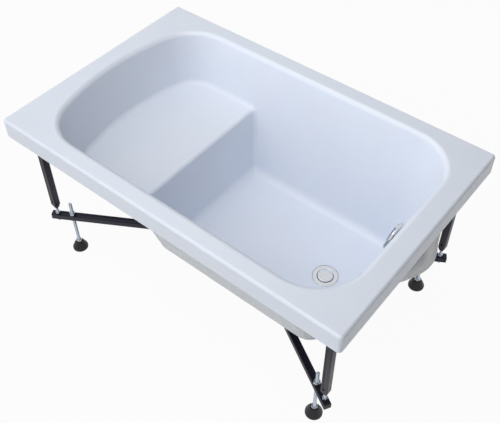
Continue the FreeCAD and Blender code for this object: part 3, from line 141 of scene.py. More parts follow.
def compute(tree, operation, *values):
    """Result of a Math node; each value is a number or another node's output."""
    return add(tree, "ShaderNodeMath", dict(enumerate(values)), operation=operation).outputs[0]


def spread(tree, factor, low, high):
    """A value from low to high as the factor goes from 0 to 1."""
    node = add(tree, "ShaderNodeMapRange", {"Value": factor, "To Min": low, "To Max": high})
    return node.outputs["Result"]


def blend(tree, factor, first, second):
    """A colour between two sRGB hex colours."""
    inputs = {"Factor": factor, "A": linear(first), "B": linear(second)}
    return add(tree, "ShaderNodeMix", inputs, data_type="RGBA").outputs["Result"]


def noise(tree, where, scale, detail, **more):
    """Even noise over the object, from 0 to 1."""
    inputs = {"Vector": where, "Scale": scale, "Detail": detail, **more}
    return add(tree, "ShaderNodeTexNoise", inputs).outputs["Fac"]


def bump(tree, height, strength, distance, **more):
    """Direction of a face made uneven by a height, a distance in metres deep."""
    inputs = {"Height": height, "Strength": strength, "Distance": distance, **more}
    return add(tree, "ShaderNodeBump", inputs).outputs["Normal"]


def grained(name, cloud, colours, rough, grain, more):
    """Material whose colour and roughness follow clouds, given by scale and detail, over a fine
    grain, given by scale, detail, strength and depth in metres."""
    made, tree, where = material(name)
    clouds = noise(tree, where, *cloud)
    surface(tree, {
        "Base Color": blend(tree, clouds, *colours), "Roughness": spread(tree, clouds, *rough),
        "Normal": bump(tree, noise(tree, where, *grain[:2]), *grain[2:]), **more})
    return made


# White polypropylene, injection moulded: slightly see-through at the edges, with a fine spark texture
# of 0.4 mm and faint flow clouds, which give a soft, broken highlight.
white_plastic = grained("Moulded white polypropylene", (18.0, 3.0), ("#dcdee0", "#e6e8e9"),
                        (0.34, 0.46), (2500.0, 2.0, 0.12, 0.0002),
                        {"IOR": 1.49, "Subsurface Weight": 0.08, "Subsurface Scale": 0.003})


carried_by = {node: body for body, held in frame["record"]["behaviour"]["bodies"].items() for node in held}


def shown(name, mesh, finish, node=None):
    """A finished piece at the origin, which stands for a CAD node and rides on that node's body."""
    piece = placed(name, mesh)
    mesh.materials.clear()
    mesh.materials.append(finish)
    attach(piece, carried_by.get(node, "frame_and_tub"))
    if node:
        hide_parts(node)
    return piece


def evaluated(thing):
    """Plain mesh of an object with its modifiers applied; the object goes."""
    graph = bpy.context.evaluated_depsgraph_get()
    mesh = bpy.data.meshes.new_from_object(thing.evaluated_get(graph), depsgraph=graph)
    data = thing.data
    bpy.data.objects.remove(thing)
    bpy.data.batch_remove([data])
    return mesh


curve = bpy.data.curves.new("hose_route", "CURVE")
curve.dimensions = "3D"
curve.resolution_u = 48
route = curve.splines.new("NURBS")
route.points.add(len(hose_points) - 1)
for point, place in zip(route.points, hose_points):
    point.co = (*place, 1)
route.order_u = 3
route.use_endpoint_u = True
hose_line = evaluated(placed("hose_route", curve))


def geometry_tree(name, inputs):
    """Geometry Nodes tree with the named inputs, each of the kind of its value, and their sockets."""
    kinds = {float: "NodeSocketFloat", int: "NodeSocketInt", type(None): "NodeSocketObject"}
    tree = bpy.data.node_groups.new(name, "GeometryNodeTree")
    tree.is_modifier = True
    tree.interface.new_socket("Geometry", in_out="INPUT", socket_type="NodeSocketGeometry")
    for label, value in inputs.items():
        socket = tree.interface.new_socket(label, in_out="INPUT", socket_type=kinds[type(value)])
        socket.default_value = value
    tree.interface.new_socket("Geometry", in_out="OUTPUT", socket_type="NodeSocketGeometry")
    return tree, tree.nodes.new("NodeGroupInput").outputs


def close_tree(tree, geometry, finish):
    """Ends a tree: instances made real and the material set."""
    real = add(tree, "GeometryNodeRealizeInstances", {"Geometry": geometry})
    coated = add(tree, "GeometryNodeSetMaterial", {
        "Geometry": real.outputs["Geometry"], "Material": finish})
    add(tree, "NodeGroupOutput", {"Geometry": coated.outputs["Geometry"]})


def grown(mesh, tree, values):
    """Mesh that a Geometry Nodes tree makes from a mesh, with the inputs given by name."""
    start = placed("start", mesh)
    modifier = start.modifiers.new("growth", "NODES")
    modifier.node_group = tree
    for item in tree.interface.items_tree:
        if item.item_type == "SOCKET" and item.in_out == "INPUT" and item.name in values:
            modifier[item.identifier] = values[item.name]
    return evaluated(start)


tree, given = geometry_tree("Ribbed hose", hose_form)
centre = add(tree, "GeometryNodeMeshToCurve", {"Mesh": given["Geometry"]})
fine = add(tree, "GeometryNodeResampleCurve", {
    "Curve": centre.outputs["Curve"], "Length": 0.0006}, mode="LENGTH")
along = add(tree, "GeometryNodeSplineParameter").outputs["Length"]
whole = add(tree, "GeometryNodeSplineLength").outputs["Length"]
nearer = compute(tree, "MINIMUM", along, compute(tree, "SUBTRACT", whole, along))
inside = compute(tree, "SUBTRACT", nearer, given["Plain end"])
ribbed = compute(tree, "GREATER_THAN", inside, 0.0)
phase = compute(tree, "DIVIDE", inside, given["Rib pitch"])
wave = compute(tree, "COSINE", compute(tree, "MULTIPLY", phase, 2 * math.pi))
rise = add(tree, "ShaderNodeMapRange", {
    "Value": wave, "From Min": 0.45, "From Max": -0.45}, interpolation_type="SMOOTHSTEP")
share = compute(tree, "MULTIPLY", rise.outputs["Result"], ribbed)
radius = spread(tree, share, given["Root radius"], given["Crest radius"])
ring = add(tree, "GeometryNodeCurvePrimitiveCircle", {"Resolution": 36, "Radius": 1.0})
skin = add(tree, "GeometryNodeCurveToMesh", {
    "Curve": fine.outputs["Curve"], "Scale": radius, "Profile Curve": ring.outputs["Curve"],
    "Fill Caps": True})
close_tree(tree, skin.outputs["Mesh"], white_plastic)
hose_mesh = grown(hose_line, tree, hose_form)
hose_mesh.shade_smooth()
hose = shown("ribbed_overflow_hose", hose_mesh, white_plastic, "overflow_hose")


# Tub shell: one sheet of white acrylic, 5 mm thick, vacuum-formed over a mould into rim, skirt, seat
# and footwell. The mould's form is a field of signed distances, in millimetres: the walls lean, and
# every corner has its own radius. The sheet is trimmed level under the skirt and drilled twice.

rim_top, skirt_end, seat_level, floor_level = 545.0, 488.0, 385.0, 188.0
rim_half, rim_corner, rim_edge = (550.0, 350.0), 10.0, 8.0
opening_half, opening_corner, head_bow = (488.0, 297.0), 135.0, 714.0
wall_lean, front_lean = math.radians(14.8), math.radians(11)
seat_front, lip_round, nose_round, seat_fillet, floor_fillet = -161.0, 12.0, 8.0, 14.0, 24.0
sheet = 5.0
bow_x, corner_y = head_bow - opening_half[0], opening_half[1] - opening_corner
head_x = bow_x - math.sqrt((head_bow - opening_corner) ** 2 - corner_y ** 2)
foot_x = opening_half[0] - opening_corner


def convex(a, b, radius):
    """Field of what two solids share, with their edge rounded."""
    return (np.minimum(-radius, np.maximum(a, b))
            + np.hypot(np.maximum(radius + a, 0), np.maximum(radius + b, 0)))


def hollow(a, b, radius):
    """Field of two solids together, with their inside corner filled."""
    return (np.maximum(radius, np.minimum(a, b))
            - np.hypot(np.maximum(radius - a, 0), np.maximum(radius - b, 0)))


def from_opening(x, y):
    """Distance outside the opening's outline on the rim."""
    y = np.abs(y)
    sides = np.maximum(y - opening_half[1], x - opening_half[0])
    sides = np.maximum(sides, np.hypot(x - bow_x, y) - head_bow)
    at_drain = (x > foot_x) & (y > corner_y)
    at_head = (x < head_x) & (y * (bow_x - head_x) > corner_y * (bow_x - x))
    sides = np.where(at_drain, np.hypot(x - foot_x, y - corner_y) - opening_corner, sides)
    return np.where(at_head, np.hypot(x - head_x, y - corner_y) - opening_corner, sides)


def from_edge(x, y):
    """Distance outside the rim's outer outline."""
    across, past = np.abs(x) - rim_half[0] + rim_corner, np.abs(y) - rim_half[1] + rim_corner
    return (np.hypot(np.maximum(across, 0), np.maximum(past, 0)) + np.minimum(np.maximum(across, past), 0)
            - rim_corner)


def mould(points):
    """Distance above the formed sheet's upper face."""
    x, y, z = np.moveaxis(points, -1, 0)
    wall = -(from_opening(x, y) + math.tan(wall_lean) * (rim_top - z)) * math.cos(wall_lean)
    block = convex(convex(z - rim_top, wall, lip_round), from_edge(x, y), rim_edge)
    front = (x - seat_front - math.tan(front_lean) * (seat_level - z)) * math.cos(front_lean)
    seat = convex(z - seat_level, front, nose_round)
    return hollow(hollow(block, seat, seat_fillet), z - floor_level, floor_fillet)


def outward(points, step=0.05):
    """Unit direction out of the upper face."""
    slope = np.stack([mould(points + shift) - mould(points - shift) for shift in np.eye(3) * step], axis=-1)
    return slope / np.linalg.norm(slope, axis=-1, keepdims=True)


def onto_mould(points, rounds=6):
    """Points moved onto the upper face along its own direction."""
    for _ in range(rounds):
        points = points - mould(points)[..., None] * outward(points)
    return points


def spaced(path, count, step, turn, ends):
    """Points along each path, shared out by its length and by how much the face turns."""
    normals = outward(path)
    length = np.linalg.norm(np.diff(path, axis=-2), axis=-1)
    bend = np.arccos(np.clip(np.sum(normals[..., 1:, :] * normals[..., :-1, :], axis=-1), -1, 1))
    start = np.zeros(length.shape[:-1] + (1,))
    weight = np.concatenate([start, np.cumsum(length / step + bend / turn, axis=-1)], -1)
    reach = np.concatenate([start, np.cumsum(length, axis=-1)], -1)
    share = np.linspace(0, 1, count - len(ends))
    result = np.empty(path.shape[:-2] + (count, 3))
    for line in np.ndindex(path.shape[:-2]):
        wanted = np.interp(share * weight[line][-1], weight[line], reach[line])
        wanted = np.sort(np.concatenate([wanted, reach[line][-1] - np.array(ends)]))
        for axis in range(3):
            result[line][:, axis] = np.interp(wanted, reach[line], path[line][:, axis])
    return result


# Lengthwise line along the middle of seat, front and footwell, from end wall to end wall.
join_level = seat_level + 16
end_x = opening_half[0] - math.tan(wall_lean) * (rim_top - join_level)
spot, line = np.array([-end_x, 0.0, join_level]), []
while spot[0] < end_x and len(line) < 4000:
    line.append(spot)
    normal = outward(spot)
    ahead = np.array([normal[2], 0.0, -normal[0]])
    spot = onto_mould(spot + ahead * 0.5, 3)
    spot[1] = 0.0
    if spot[0] > 0 and spot[2] > join_level:
        break
line = np.array(line + [[end_x, 0.0, join_level]])
ends = (0.7, 1.5, 2.6, 4.2, 7.0)  # extra points close to a line's end, where it meets the wall's rows
length = np.linalg.norm(np.diff(line, axis=0), axis=1).sum()
spine = spaced(line, 112, 17.0, math.radians(7.5), ends + tuple(length - e for e in ends))
reach = np.concatenate([[0], np.cumsum(np.linalg.norm(np.diff(spine, axis=0), axis=1))])

# Each station's crosswise line lies in a plane through the spine and through a line at the join level.
# The marks give x and z on the spine, and x of the plane at the join level.
marks = [(-end_x, join_level, -402.5), (-435, seat_level, -387), (-330, seat_level, -318),
         (-181, seat_level, -181), (-158.5, 376, -161), (-127.4, 214, -105), (-101, floor_level, -88),
         (0, floor_level, 4), (300, floor_level, 316), (366, floor_level, 376), (401, 214, 394),
         (end_x, join_level, 421.5)]
mark_reach = [reach[np.argmin(np.hypot(spine[:, 0] - x, spine[:, 2] - z))] for x, z, _ in marks]
top_x = np.interp(reach, mark_reach, [top for *_, top in marks])
rise = np.stack([top_x - spine[:, 0], np.zeros(len(spine)), join_level - spine[:, 2]], axis=-1)
flat_ends = np.linalg.norm(rise, axis=-1, keepdims=True)
rise = rise / flat_ends
point = spine.copy()
lines = [point.copy()]
ahead = np.tile([0.0, 1.0, 0.0], (len(spine), 1))
done = np.zeros(len(spine), bool)
off_plane = np.cross(rise, [0, 1, 0])
for _ in range(900):
    moved = point + ahead * 0.8
    for _ in range(4):
        normal = outward(moved)
        in_plane = normal - np.sum(normal * off_plane, axis=1, keepdims=True) * off_plane
        size = np.sum(in_plane ** 2, axis=1, keepdims=True)
        moved = moved - mould(moved)[:, None] * in_plane / np.maximum(size, 1e-3)
    way = moved - point
    height = np.sum((moved - spine) * rise, axis=1)
    over = height >= flat_ends[:, 0]
    before = np.sum((point - spine) * rise, axis=1)
    part = np.clip((flat_ends[:, 0] - before) / np.maximum(height - before, 1e-6), 0, 1)
    moved = np.where(over[:, None], point + part[:, None] * way, moved)
    moved = np.where(done[:, None], point, moved)
    done |= over
    norm = np.linalg.norm(way, axis=1, keepdims=True)
    ahead = np.where(done[:, None], ahead, way / np.maximum(norm, 1e-6))
    point = moved
    lines.append(point.copy())
    if done.all():
        break
lines = np.stack(lines, axis=1)
half = spaced(lines, 40, 16.0, math.radians(8), ends)
half[:, 0, 1] = 0.0
grid = np.concatenate([half[:, :0:-1] * [1, -1, 1], half], axis=1)
grid = onto_mould(grid, 3)

# The join loop runs round the grid's border; each of its points sends a line up the wall, over the
# lip, across the rim and down the skirt.
stations, across = grid.shape[:2]
border = ([(i, 0) for i in range(stations)] + [(stations - 1, j) for j in range(1, across)]
          + [(i, across - 1) for i in range(stations - 2, -1, -1)]
          + [(0, j) for j in range(across - 2, 0, -1)])
loop = np.array([grid[i, j] for i, j in border])
loop_x, loop_y = loop[:, 0], loop[:, 1]
probe = 0.05
away = np.stack([from_opening(loop_x + probe, loop_y) - from_opening(loop_x - probe, loop_y),
                 from_opening(loop_x, loop_y + probe) - from_opening(loop_x, loop_y - probe)], axis=-1)
away /= np.linalg.norm(away, axis=1, keepdims=True)
edge = loop[:, :2] - away * from_opening(loop_x, loop_y)[:, None]


def to_edge(offset):
    """How far out each line meets the rim's outline, less an offset."""
    low, high = np.zeros(len(edge)), np.full(len(edge), 400.0)
    for _ in range(40):
        middle = (low + high) / 2
        out = edge + away * middle[:, None]
        beyond = from_edge(out[:, 0], out[:, 1]) > offset
        low, high = np.where(beyond, low, middle), np.where(beyond, middle, high)
    return low


def row(out, height):
    """One point of each line, at an offset out of the opening's edge and at a height."""
    return np.concatenate([edge + away * np.asarray(out).reshape(-1, 1) * np.ones((len(edge), 1)),
                           np.full((len(edge), 1), height)], axis=1)


wall_levels, skirt_levels = (430, 465, 500, 520, 531), (524, 508, 498, skirt_end)
lip_start, lip_reach, lip_end = -2.8, 15.2, 12.4
rows = []
for height in wall_levels:
    rows.append(onto_mould(row(-math.tan(wall_lean) * (rim_top - height), height)))
for turn in np.radians(np.arange(0, 91, 9)):
    rows.append(onto_mould(row(lip_start + lip_reach * (1 - math.cos(turn)),
                               rim_top - lip_round + lip_round * math.sin(turn))))
flat = to_edge(-rim_edge)
for share in (0.2, 0.4, 0.6, 0.8, 1.0):
    rows.append(onto_mould(row(lip_end + (flat - lip_end) * share, rim_top)))
for turn in np.radians(np.arange(10, 91, 10)):
    rows.append(onto_mould(row(to_edge(rim_edge * (math.sin(turn) - 1)),
                               rim_top - rim_edge * (1 - math.cos(turn)))))
outside = to_edge(0)
for height in skirt_levels:
    rows.append(row(outside, height))

count = len(loop)
upper = np.concatenate([grid.reshape(-1, 3)] + rows)
faces = [(a, a + across, a + across + 1, a + 1)
         for i in range(stations - 1) for a in range(i * across, (i + 1) * across - 1)]
bands = [[i * across + j for i, j in border]]
bands += [[grid[..., 0].size + r * count + k for k in range(count)] for r in range(len(rows))]
for inner, outer in zip(bands, bands[1:]):
    for k in range(count):
        n = (k + 1) % count
        faces.append((inner[k], outer[k], outer[n], inner[n]))
normals = outward(upper)
normals[np.array(bands[-len(skirt_levels):]).ravel(), 2] = 0
normals /= np.linalg.norm(normals, axis=1, keepdims=True)
lower = upper - normals * sheet
total = len(upper)
faces += [tuple(total + v for v in reversed(face)) for face in faces]
trim = bands[-1]
faces += [(trim[k], total + trim[k], total + trim[(k + 1) % count], trim[(k + 1) % count])
          for k in range(count)]


def mesh_of(places, skin=(), edges=()):
    """Mesh of places in millimetres and the faces or edges between them."""
    mesh = bpy.data.meshes.new("skin")
    mesh.from_pydata((np.array(places) / 1000).tolist(), edges, skin)
    return mesh


def meshed(shape):
    """Mesh of an edited shape; the shape goes."""
    mesh = bpy.data.meshes.new("shape")
    shape.to_mesh(mesh)
    shape.free()
    return mesh


def rod(place, way, radius, length):
    """Closed round bar from a place, along a direction, in millimetres."""
    shape = bmesh.new()
    bmesh.ops.create_cone(shape, cap_ends=True, segments=96, radius1=radius / 1000, radius2=radius / 1000,
                          depth=length / 1000)
    turn = Vector(way).to_track_quat("Z", "Y").to_matrix().to_4x4()
    centre = Matrix.Translation((Vector(place) + Vector(way).normalized() * length / 2) / 1000)
    bmesh.ops.transform(shape, matrix=centre @ turn, verts=shape.verts)
    return meshed(shape)


def cut_by(mesh, cutters):
    """The mesh less each of the cutter meshes, which go."""
    body = placed("body", mesh)
    tools = [placed("tool", cutter) for cutter in cutters]
    for tool in tools:
        cut = body.modifiers.new("cut", "BOOLEAN")
        cut.operation, cut.solver, cut.object = "DIFFERENCE", "EXACT", tool
    result = evaluated(body)
    bpy.data.batch_remove(tools + cutters)
    return result


drain_spot, overflow_spot = (293.0, 0.0), (472.676, 0.0, 487.0)
overflow_way = (-math.cos(wall_lean), 0.0, math.sin(wall_lean))
behind = Vector(overflow_spot) - Vector(overflow_way) * 20
recess_radius, drain_radius, overflow_radius = 37, 25, 22


def holes():
    """Cutters of the drain's hole and the overflow's, through sheet and backing."""
    return [rod((*drain_spot, floor_level - 20), (0, 0, 1), drain_radius, 40),
            rod(behind, overflow_way, overflow_radius, 40)]


recess = rod((*drain_spot, floor_level - 3), (0, 0, 1), recess_radius, 30)
tub_mesh = cut_by(mesh_of(np.concatenate([upper, lower]), faces), [recess] + holes())

# The field gives each corner of the mesh its true direction, so highlights run smoothly over it.
tub_places = np.empty(len(tub_mesh.vertices) * 3)
tub_mesh.vertices.foreach_get("co", tub_places)
tub_places = tub_places.reshape(-1, 3) * 1000
field, true_way = mould(tub_places), outward(tub_places)
directions = np.empty((len(tub_mesh.loops), 3))
for face in tub_mesh.polygons:
    vertices, loops = list(face.vertices), list(face.loop_indices)
    formed = abs(Vector(true_way[vertices[0]]).dot(face.normal)) > 0.7
    if formed and np.all(np.abs(field[vertices]) < 0.02):
        directions[loops] = true_way[vertices]
    elif formed and np.all(np.abs(field[vertices] + sheet) < 0.1):
        directions[loops] = -true_way[vertices]
    else:
        directions[loops] = face.normal
tub_mesh.shade_smooth()
tub_mesh.normals_split_custom_set(directions.tolist())

# Cast acrylic, vacuum-formed and wiped clean: cool white, its gloss softened by handling, its
# reflections a little wavy over 60 mm from the forming, with 1 mm orange peel.
acrylic, tree, where = material("Gloss white cast acrylic")
haze = noise(tree, where, 14.0, 4.0, Distortion=0.4)
waved = bump(tree, noise(tree, where, 16.0, 1.0), 0.06, 0.0005)
surface(tree, {
    "Base Color": blend(tree, haze, "#dce3ef", "#e1e7f2"), "Roughness": spread(tree, haze, 0.26, 0.36),
    "IOR": 1.49, "Subsurface Weight": 0.06, "Subsurface Scale": 0.004,
    "Normal": bump(tree, noise(tree, where, 700.0, 2.0), 0.04, 0.0001, Normal=waved)})
shown("formed_tub", tub_mesh, acrylic, "tub_shell")


# Glass fibre backing: chopped strands and polyester resin sprayed behind the basin and rolled down
# to 4 mm. It is rough and pale grey, mottled where the strands show through the resin.

backing, tree, where = material("Chopped glass fibre in polyester resin")
strands = add(tree, "ShaderNodeTexWave", {
    "Vector": where, "Scale": 60.0, "Distortion": 18.0, "Detail": 3.0, "Detail Scale": 2.0})
lumps = noise(tree, where, 60.0, 6.0, Roughness=0.62)
height = compute(tree, "MULTIPLY_ADD", lumps, 0.7, strands.outputs["Fac"])
surface(tree, {
    "Base Color": blend(tree, height, "#d6dce2", "#f0f3f6"),
    "Roughness": spread(tree, lumps, 0.45, 0.8), "IOR": 1.54,
    "Normal": bump(tree, height, 0.7, 0.0018)})


def smoothed(mesh, angle):
    """The mesh shaded smooth, but for edges sharper than an angle in degrees."""
    mesh.shade_smooth()
    mesh.set_sharp_from_angle(angle=math.radians(angle))
    return mesh


# The mat follows the sheet from the footwell up to the last of the wall's rows, with 0.6 mm of relief.
sprayed, gap, relief = 4.0, 0.05, 0.6
covered = grid[..., 0].size + len(wall_levels) * count
uneven = np.random.default_rng(5).uniform(0.0, relief, covered)
mat_back = upper[:covered] - normals[:covered] * (sheet + sprayed * math.cos(wall_lean) - uneven)[:, None]
mat_front = upper[:covered] - normals[:covered] * (sheet + gap)
laid = [face for face in faces if max(face) < covered]
top_edge = bands[len(wall_levels)]
backing_faces = [tuple(reversed(face)) for face in laid]
backing_faces += [tuple(covered + v for v in face) for face in laid]
backing_faces += [(top_edge[k], top_edge[(k + 1) % count], covered + top_edge[(k + 1) % count],
                   covered + top_edge[k]) for k in range(count)]
backing_mesh = smoothed(cut_by(mesh_of(np.concatenate([mat_back, mat_front]), backing_faces), holes()), 50)
shown("sprayed_backing", backing_mesh, backing, "glass_fibre_backing")


# Base board and rim blocks: 25 mm and 18 mm raw particle board, sawn, glued into the wet resin.
# Flat chips 3 to 10 mm long lie in two directions, darker where the glue is thick.

chipboard, tree, where = material("Raw particle board")
long_way = add(tree, "ShaderNodeMapping", {"Vector": where, "Scale": (90.0, 260.0, 260.0)})
chips = add(tree, "ShaderNodeTexVoronoi", {"Vector": long_way.outputs["Vector"], "Scale": 1.0})
tone = add(tree, "ShaderNodeSeparateColor", {"Color": chips.outputs["Color"]})
mixed = compute(tree, "MULTIPLY_ADD", noise(tree, where, 900.0, 3.0), 0.35, tone.outputs["Red"])
surface(tree, {
    "Base Color": blend(tree, mixed, "#8e6f49", "#c9ab7d"), "Roughness": 0.85,
    "Normal": bump(tree, mixed, 0.4, 0.0004)})

nodes = frame["nodes"]
corners = ("front_left", "front_right", "rear_left", "rear_right")


def edged(mesh, width, segments=2, angle=32):
    """The mesh with its sharp edges rounded to a width in metres."""
    mesh.shade_smooth()
    blank = placed("blank", mesh)
    bevel = blank.modifiers.new("edges", "BEVEL")
    bevel.width, bevel.segments, bevel.limit_method = width, segments, "ANGLE"
    bevel.angle_limit, bevel.harden_normals = math.radians(angle), True
    return evaluated(blank)


def merged(node):
    """A CAD node's mesh opened for editing, with its loose corners merged."""
    shape = bmesh.new()
    shape.from_mesh(nodes[node].data)
    bmesh.ops.remove_doubles(shape, verts=shape.verts, dist=0.00001)
    return shape


def softened(name, node, width, finish, segments=2):
    """A CAD node's shape with its flat triangles merged and its edges rounded."""
    shape = merged(node)
    bmesh.ops.dissolve_limit(shape, angle_limit=math.radians(1.5), verts=shape.verts, edges=shape.edges)
    shown(name, edged(meshed(shape), width, segments), finish, node)


softened("sawn_base_board", "base_board", 0.0008, chipboard)
for corner in corners:
    softened(f"sawn_rim_block_{corner}", f"rim_block_{corner}", 0.0008, chipboard)


# Frame: 20 x 20 x 1.5 mm square steel tube, cut, drilled, the posts pinched in a press, then powder
# coated black. One bar is whole; the other is two halves welded to its sides.

# The coat is satin black with a faint blue in its sheen, and its fine peel breaks up the highlights.
coating = grained("Black powder coat", (45.0, 4.0), ("#0a0a13", "#151520"),
                  (0.38, 0.52), (1400.0, 3.0, 0.25, 0.0002),
                  {"IOR": 1.42, "Specular Tint": linear("#c4c2e4")})
posts = [f"corner_post_{corner}" for corner in corners]
for node in ["long_bar", "half_bar_front", "half_bar_rear"] + posts:
    softened(f"coated_{node}", node, 0.0006, coating)
softened("coated_top_plates", "post_top_plates", 0.0005, coating)

# Weld beads, 3 mm wide: up both sides and along the bottom where a half bar meets the whole one, and
# round the top of each post. The ripples lie 1.1 mm apart.
tube, bead_out, bead_inset, bar_drop, post_drop = 20.0, 0.6, 0.4, 1.5, 0.8
bar_low = 1000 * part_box("long_bar")[0][2]
bar_high = bar_low + tube
foot_reach = (0.457304, 0.267757)
bar_turn = math.atan2(foot_reach[1], foot_reach[0])
whole_side = Vector((-math.sin(bar_turn), math.cos(bar_turn)))
seam_points, seam_edges = [], []


def weld(points, closed=False):
    """Adds a line of weld through the points, in millimetres."""
    first, ends = len(seam_points), len(points)
    seam_points.extend(points)
    seam_edges.extend((first + k, first + (k + 1) % ends) for k in range(ends if closed else ends - 1))


for end in (1, -1):
    along_half = Vector((math.cos(bar_turn), -math.sin(bar_turn))) * end
    half_side = Vector((-along_half.y, along_half.x))
    feet = []
    for edge_side in (-tube / 2, tube / 2):
        offset = half_side * edge_side
        reach_out = (-(tube / 2 + bead_out) * end - offset.dot(whole_side)) / along_half.dot(whole_side)
        feet.append(offset + along_half * reach_out)
    top, bottom = bar_high - bar_drop, bar_low + bead_inset
    weld([(*feet[0], top), (*feet[0], bottom), (*feet[1], bottom), (*feet[1], top)])
for post in posts:
    low, high = (np.array(value) * 1000 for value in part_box(post))
    round_post = ((low[0], low[1]), (high[0], low[1]), (high[0], high[1]), (low[0], high[1]))
    weld([(x, y, high[2] - post_drop) for x, y in round_post], closed=True)
bead_form = {"Ripple spacing": 0.0011, "Bead radius": 0.0015, "Seed": 7}
tree, given = geometry_tree("Weld bead", bead_form)
path = add(tree, "GeometryNodeMeshToCurve", {"Mesh": given["Geometry"]})
steps = add(tree, "GeometryNodeResampleCurve", {
    "Curve": path.outputs["Curve"], "Length": given["Ripple spacing"]}, mode="LENGTH")
drop = add(tree, "GeometryNodeMeshIcoSphere", {"Radius": given["Bead radius"], "Subdivisions": 2})
uneven = add(tree, "FunctionNodeRandomValue", {2: 0.85, 3: 1.1, "Seed": given["Seed"]})
ripples = add(tree, "GeometryNodeInstanceOnPoints", {
    "Points": steps.outputs["Curve"], "Instance": drop.outputs["Mesh"], "Scale": uneven.outputs[1]})
close_tree(tree, ripples.outputs["Instances"], coating)
bead_mesh = grown(mesh_of(seam_points, edges=seam_edges), tree, bead_form)
bead_mesh.shade_smooth()
shown("weld_beads", bead_mesh, coating)


# Bar end caps and foot pads: black polypropylene, injection moulded, pushed into the tube and set
# loose under the foot rod. The moulds' spark finish leaves them matt with a soft edge.

black_plastic = grained("Moulded black polypropylene", (60.0, 3.0), ("#0a0a0d", "#131318"),
                        (0.4, 0.55), (2200.0, 2.0, 0.2, 0.0002), {"IOR": 1.43})


def solids(node):
    """Lowest and highest corner, in millimetres, of each separate solid in a CAD node."""
    shape = merged(node)
    boxes, left = [], set(shape.verts)
    while left:
        held = [left.pop()]
        for vert in held:
            for edge in vert.link_edges:
                other = edge.other_vert(vert)
                if other in left:
                    left.discard(other)
                    held.append(other)
        places = np.array([tuple(vert.co) for vert in held]) * 1000
        ends = places.min(axis=0), places.max(axis=0)
        boxes.append(tuple(tuple(end.round(3).tolist()) for end in ends))
    shape.free()
    return sorted(boxes)


def foot_of(box):
    """Middle of a box's lower face."""
    low, high = box
    return Vector(((low[0] + high[0]) / 2, (low[1] + high[1]) / 2, low[2]))


def outline(profile, segments):
    """Profile points (radius, height, rounding), with each rounding drawn as an arc."""
    points = []
    for index, (radius, height, *rounding) in enumerate(profile):
        here = Vector((radius, height))
        if not rounding:
            points.append(here)
            continue
        before = Vector(profile[index - 1][:2]) - here
        after = Vector(profile[(index + 1) % len(profile)][:2]) - here
        reach = rounding[0] / math.tan(before.angle(after) / 2)
        start = here + before.normalized() * min(reach, 0.49 * before.length)
        finish = here + after.normalized() * min(reach, 0.49 * after.length)
        for share in np.linspace(0, 1, segments + 1):
            points.append(start * (1 - share) ** 2 + here * 2 * share * (1 - share) + finish * share ** 2)
    return points


def turned(profile, matrix=None, closed=False, sides=96, segments=4):
    """Lathe piece of a profile in millimetres, about its own Z axis, then put in its place."""
    shape = bmesh.new()
    rings = []
    for radius, height in outline(profile, segments):
        if radius < 1e-6:
            rings.append([shape.verts.new((0, 0, height / 1000))])
        else:
            rings.append([shape.verts.new((radius * math.cos(a) / 1000, radius * math.sin(a) / 1000,
                                           height / 1000))
                          for a in np.linspace(0, 2 * math.pi, sides, endpoint=False)])
    for low, high in list(zip(rings, rings[1:])) + ([(rings[-1], rings[0])] if closed else []):
        for k in range(sides):
            n = (k + 1) % sides
            around = [low[k % len(low)], low[n % len(low)], high[n % len(high)], high[k % len(high)]]
            shape.faces.new(list(dict.fromkeys(around)))
    bmesh.ops.recalc_face_normals(shape, faces=shape.faces)
    if matrix is not None:
        bmesh.ops.transform(shape, matrix=matrix, verts=shape.verts)
    return smoothed(meshed(shape), 36)


def at(place, way=(0, 0, 1)):
    """Matrix that stands a piece on a place, in millimetres, along a direction."""
    turn = Vector(way).to_track_quat("Z", "Y").to_matrix().to_4x4()
    return Matrix.Translation(Vector(place) / 1000) @ turn


def standing(node):
    """Matrix that stands a piece where a CAD node's first solid stands."""
    return at(foot_of(solids(node)[0]))


# Every profile from here on lists radius, height and, where an edge is soft, its rounding.
pad_profile = [(0, 0), (24, 0, 0.8), (24, 5, 5.0), (12, 29.95, 1.6), (5.3, 29.95, 0.5), (5.3, 7.95),
               (0, 7.95)]
for corner in corners:
    softened(f"moulded_bar_cap_{corner}", f"bar_cap_{corner}", 0.0012, black_plastic, 3)
    foot_pad = turned(pad_profile, standing(f"foot_pad_{corner}"))
    shown(f"moulded_foot_pad_{corner}", foot_pad, black_plastic, f"foot_pad_{corner}")


# Fasteners: rolled and cut steel, zinc plated and passivated blue, so that the silver has a cold tint
# with faint rainbow clouds. Feet are M10 and studs M8, with rolled threads; nuts are chamfered.

zinc = grained("Blue passivated zinc plating", (90.0, 4.0), ("#9fabbd", "#c6ccd2"),
               (0.22, 0.42), (1600.0, 2.0, 0.15, 0.0001), {"Metallic": 1.0})


def threaded(radius, pitch, length):
    """Bar with a rolled metric thread, standing on the origin, in millimetres."""
    sides, steps = 24, 5
    rows = int(length / pitch * steps) + 1
    height, around = np.meshgrid(np.linspace(0, length, rows), np.arange(sides) / sides, indexing="ij")
    phase = (height / pitch - around) % 1
    flank = np.clip(1.5 * np.abs(2 * phase - 1) - 0.25, 0, 1)
    end = np.clip(np.minimum(height, length - height) / pitch, 0, 1)
    depth = 0.61 * pitch
    out = radius - depth * (1 - flank * end)
    turn = 2 * math.pi * around
    places = np.stack([out * np.cos(turn), out * np.sin(turn), height], axis=-1).reshape(-1, 3)
    skin = [(r * sides + k, r * sides + (k + 1) % sides, (r + 1) * sides + (k + 1) % sides,
             (r + 1) * sides + k) for r in range(rows - 1) for k in range(sides)]
    skin += [tuple(reversed(range(sides))), tuple((rows - 1) * sides + k for k in range(sides))]
    return smoothed(mesh_of(places, skin), 70)


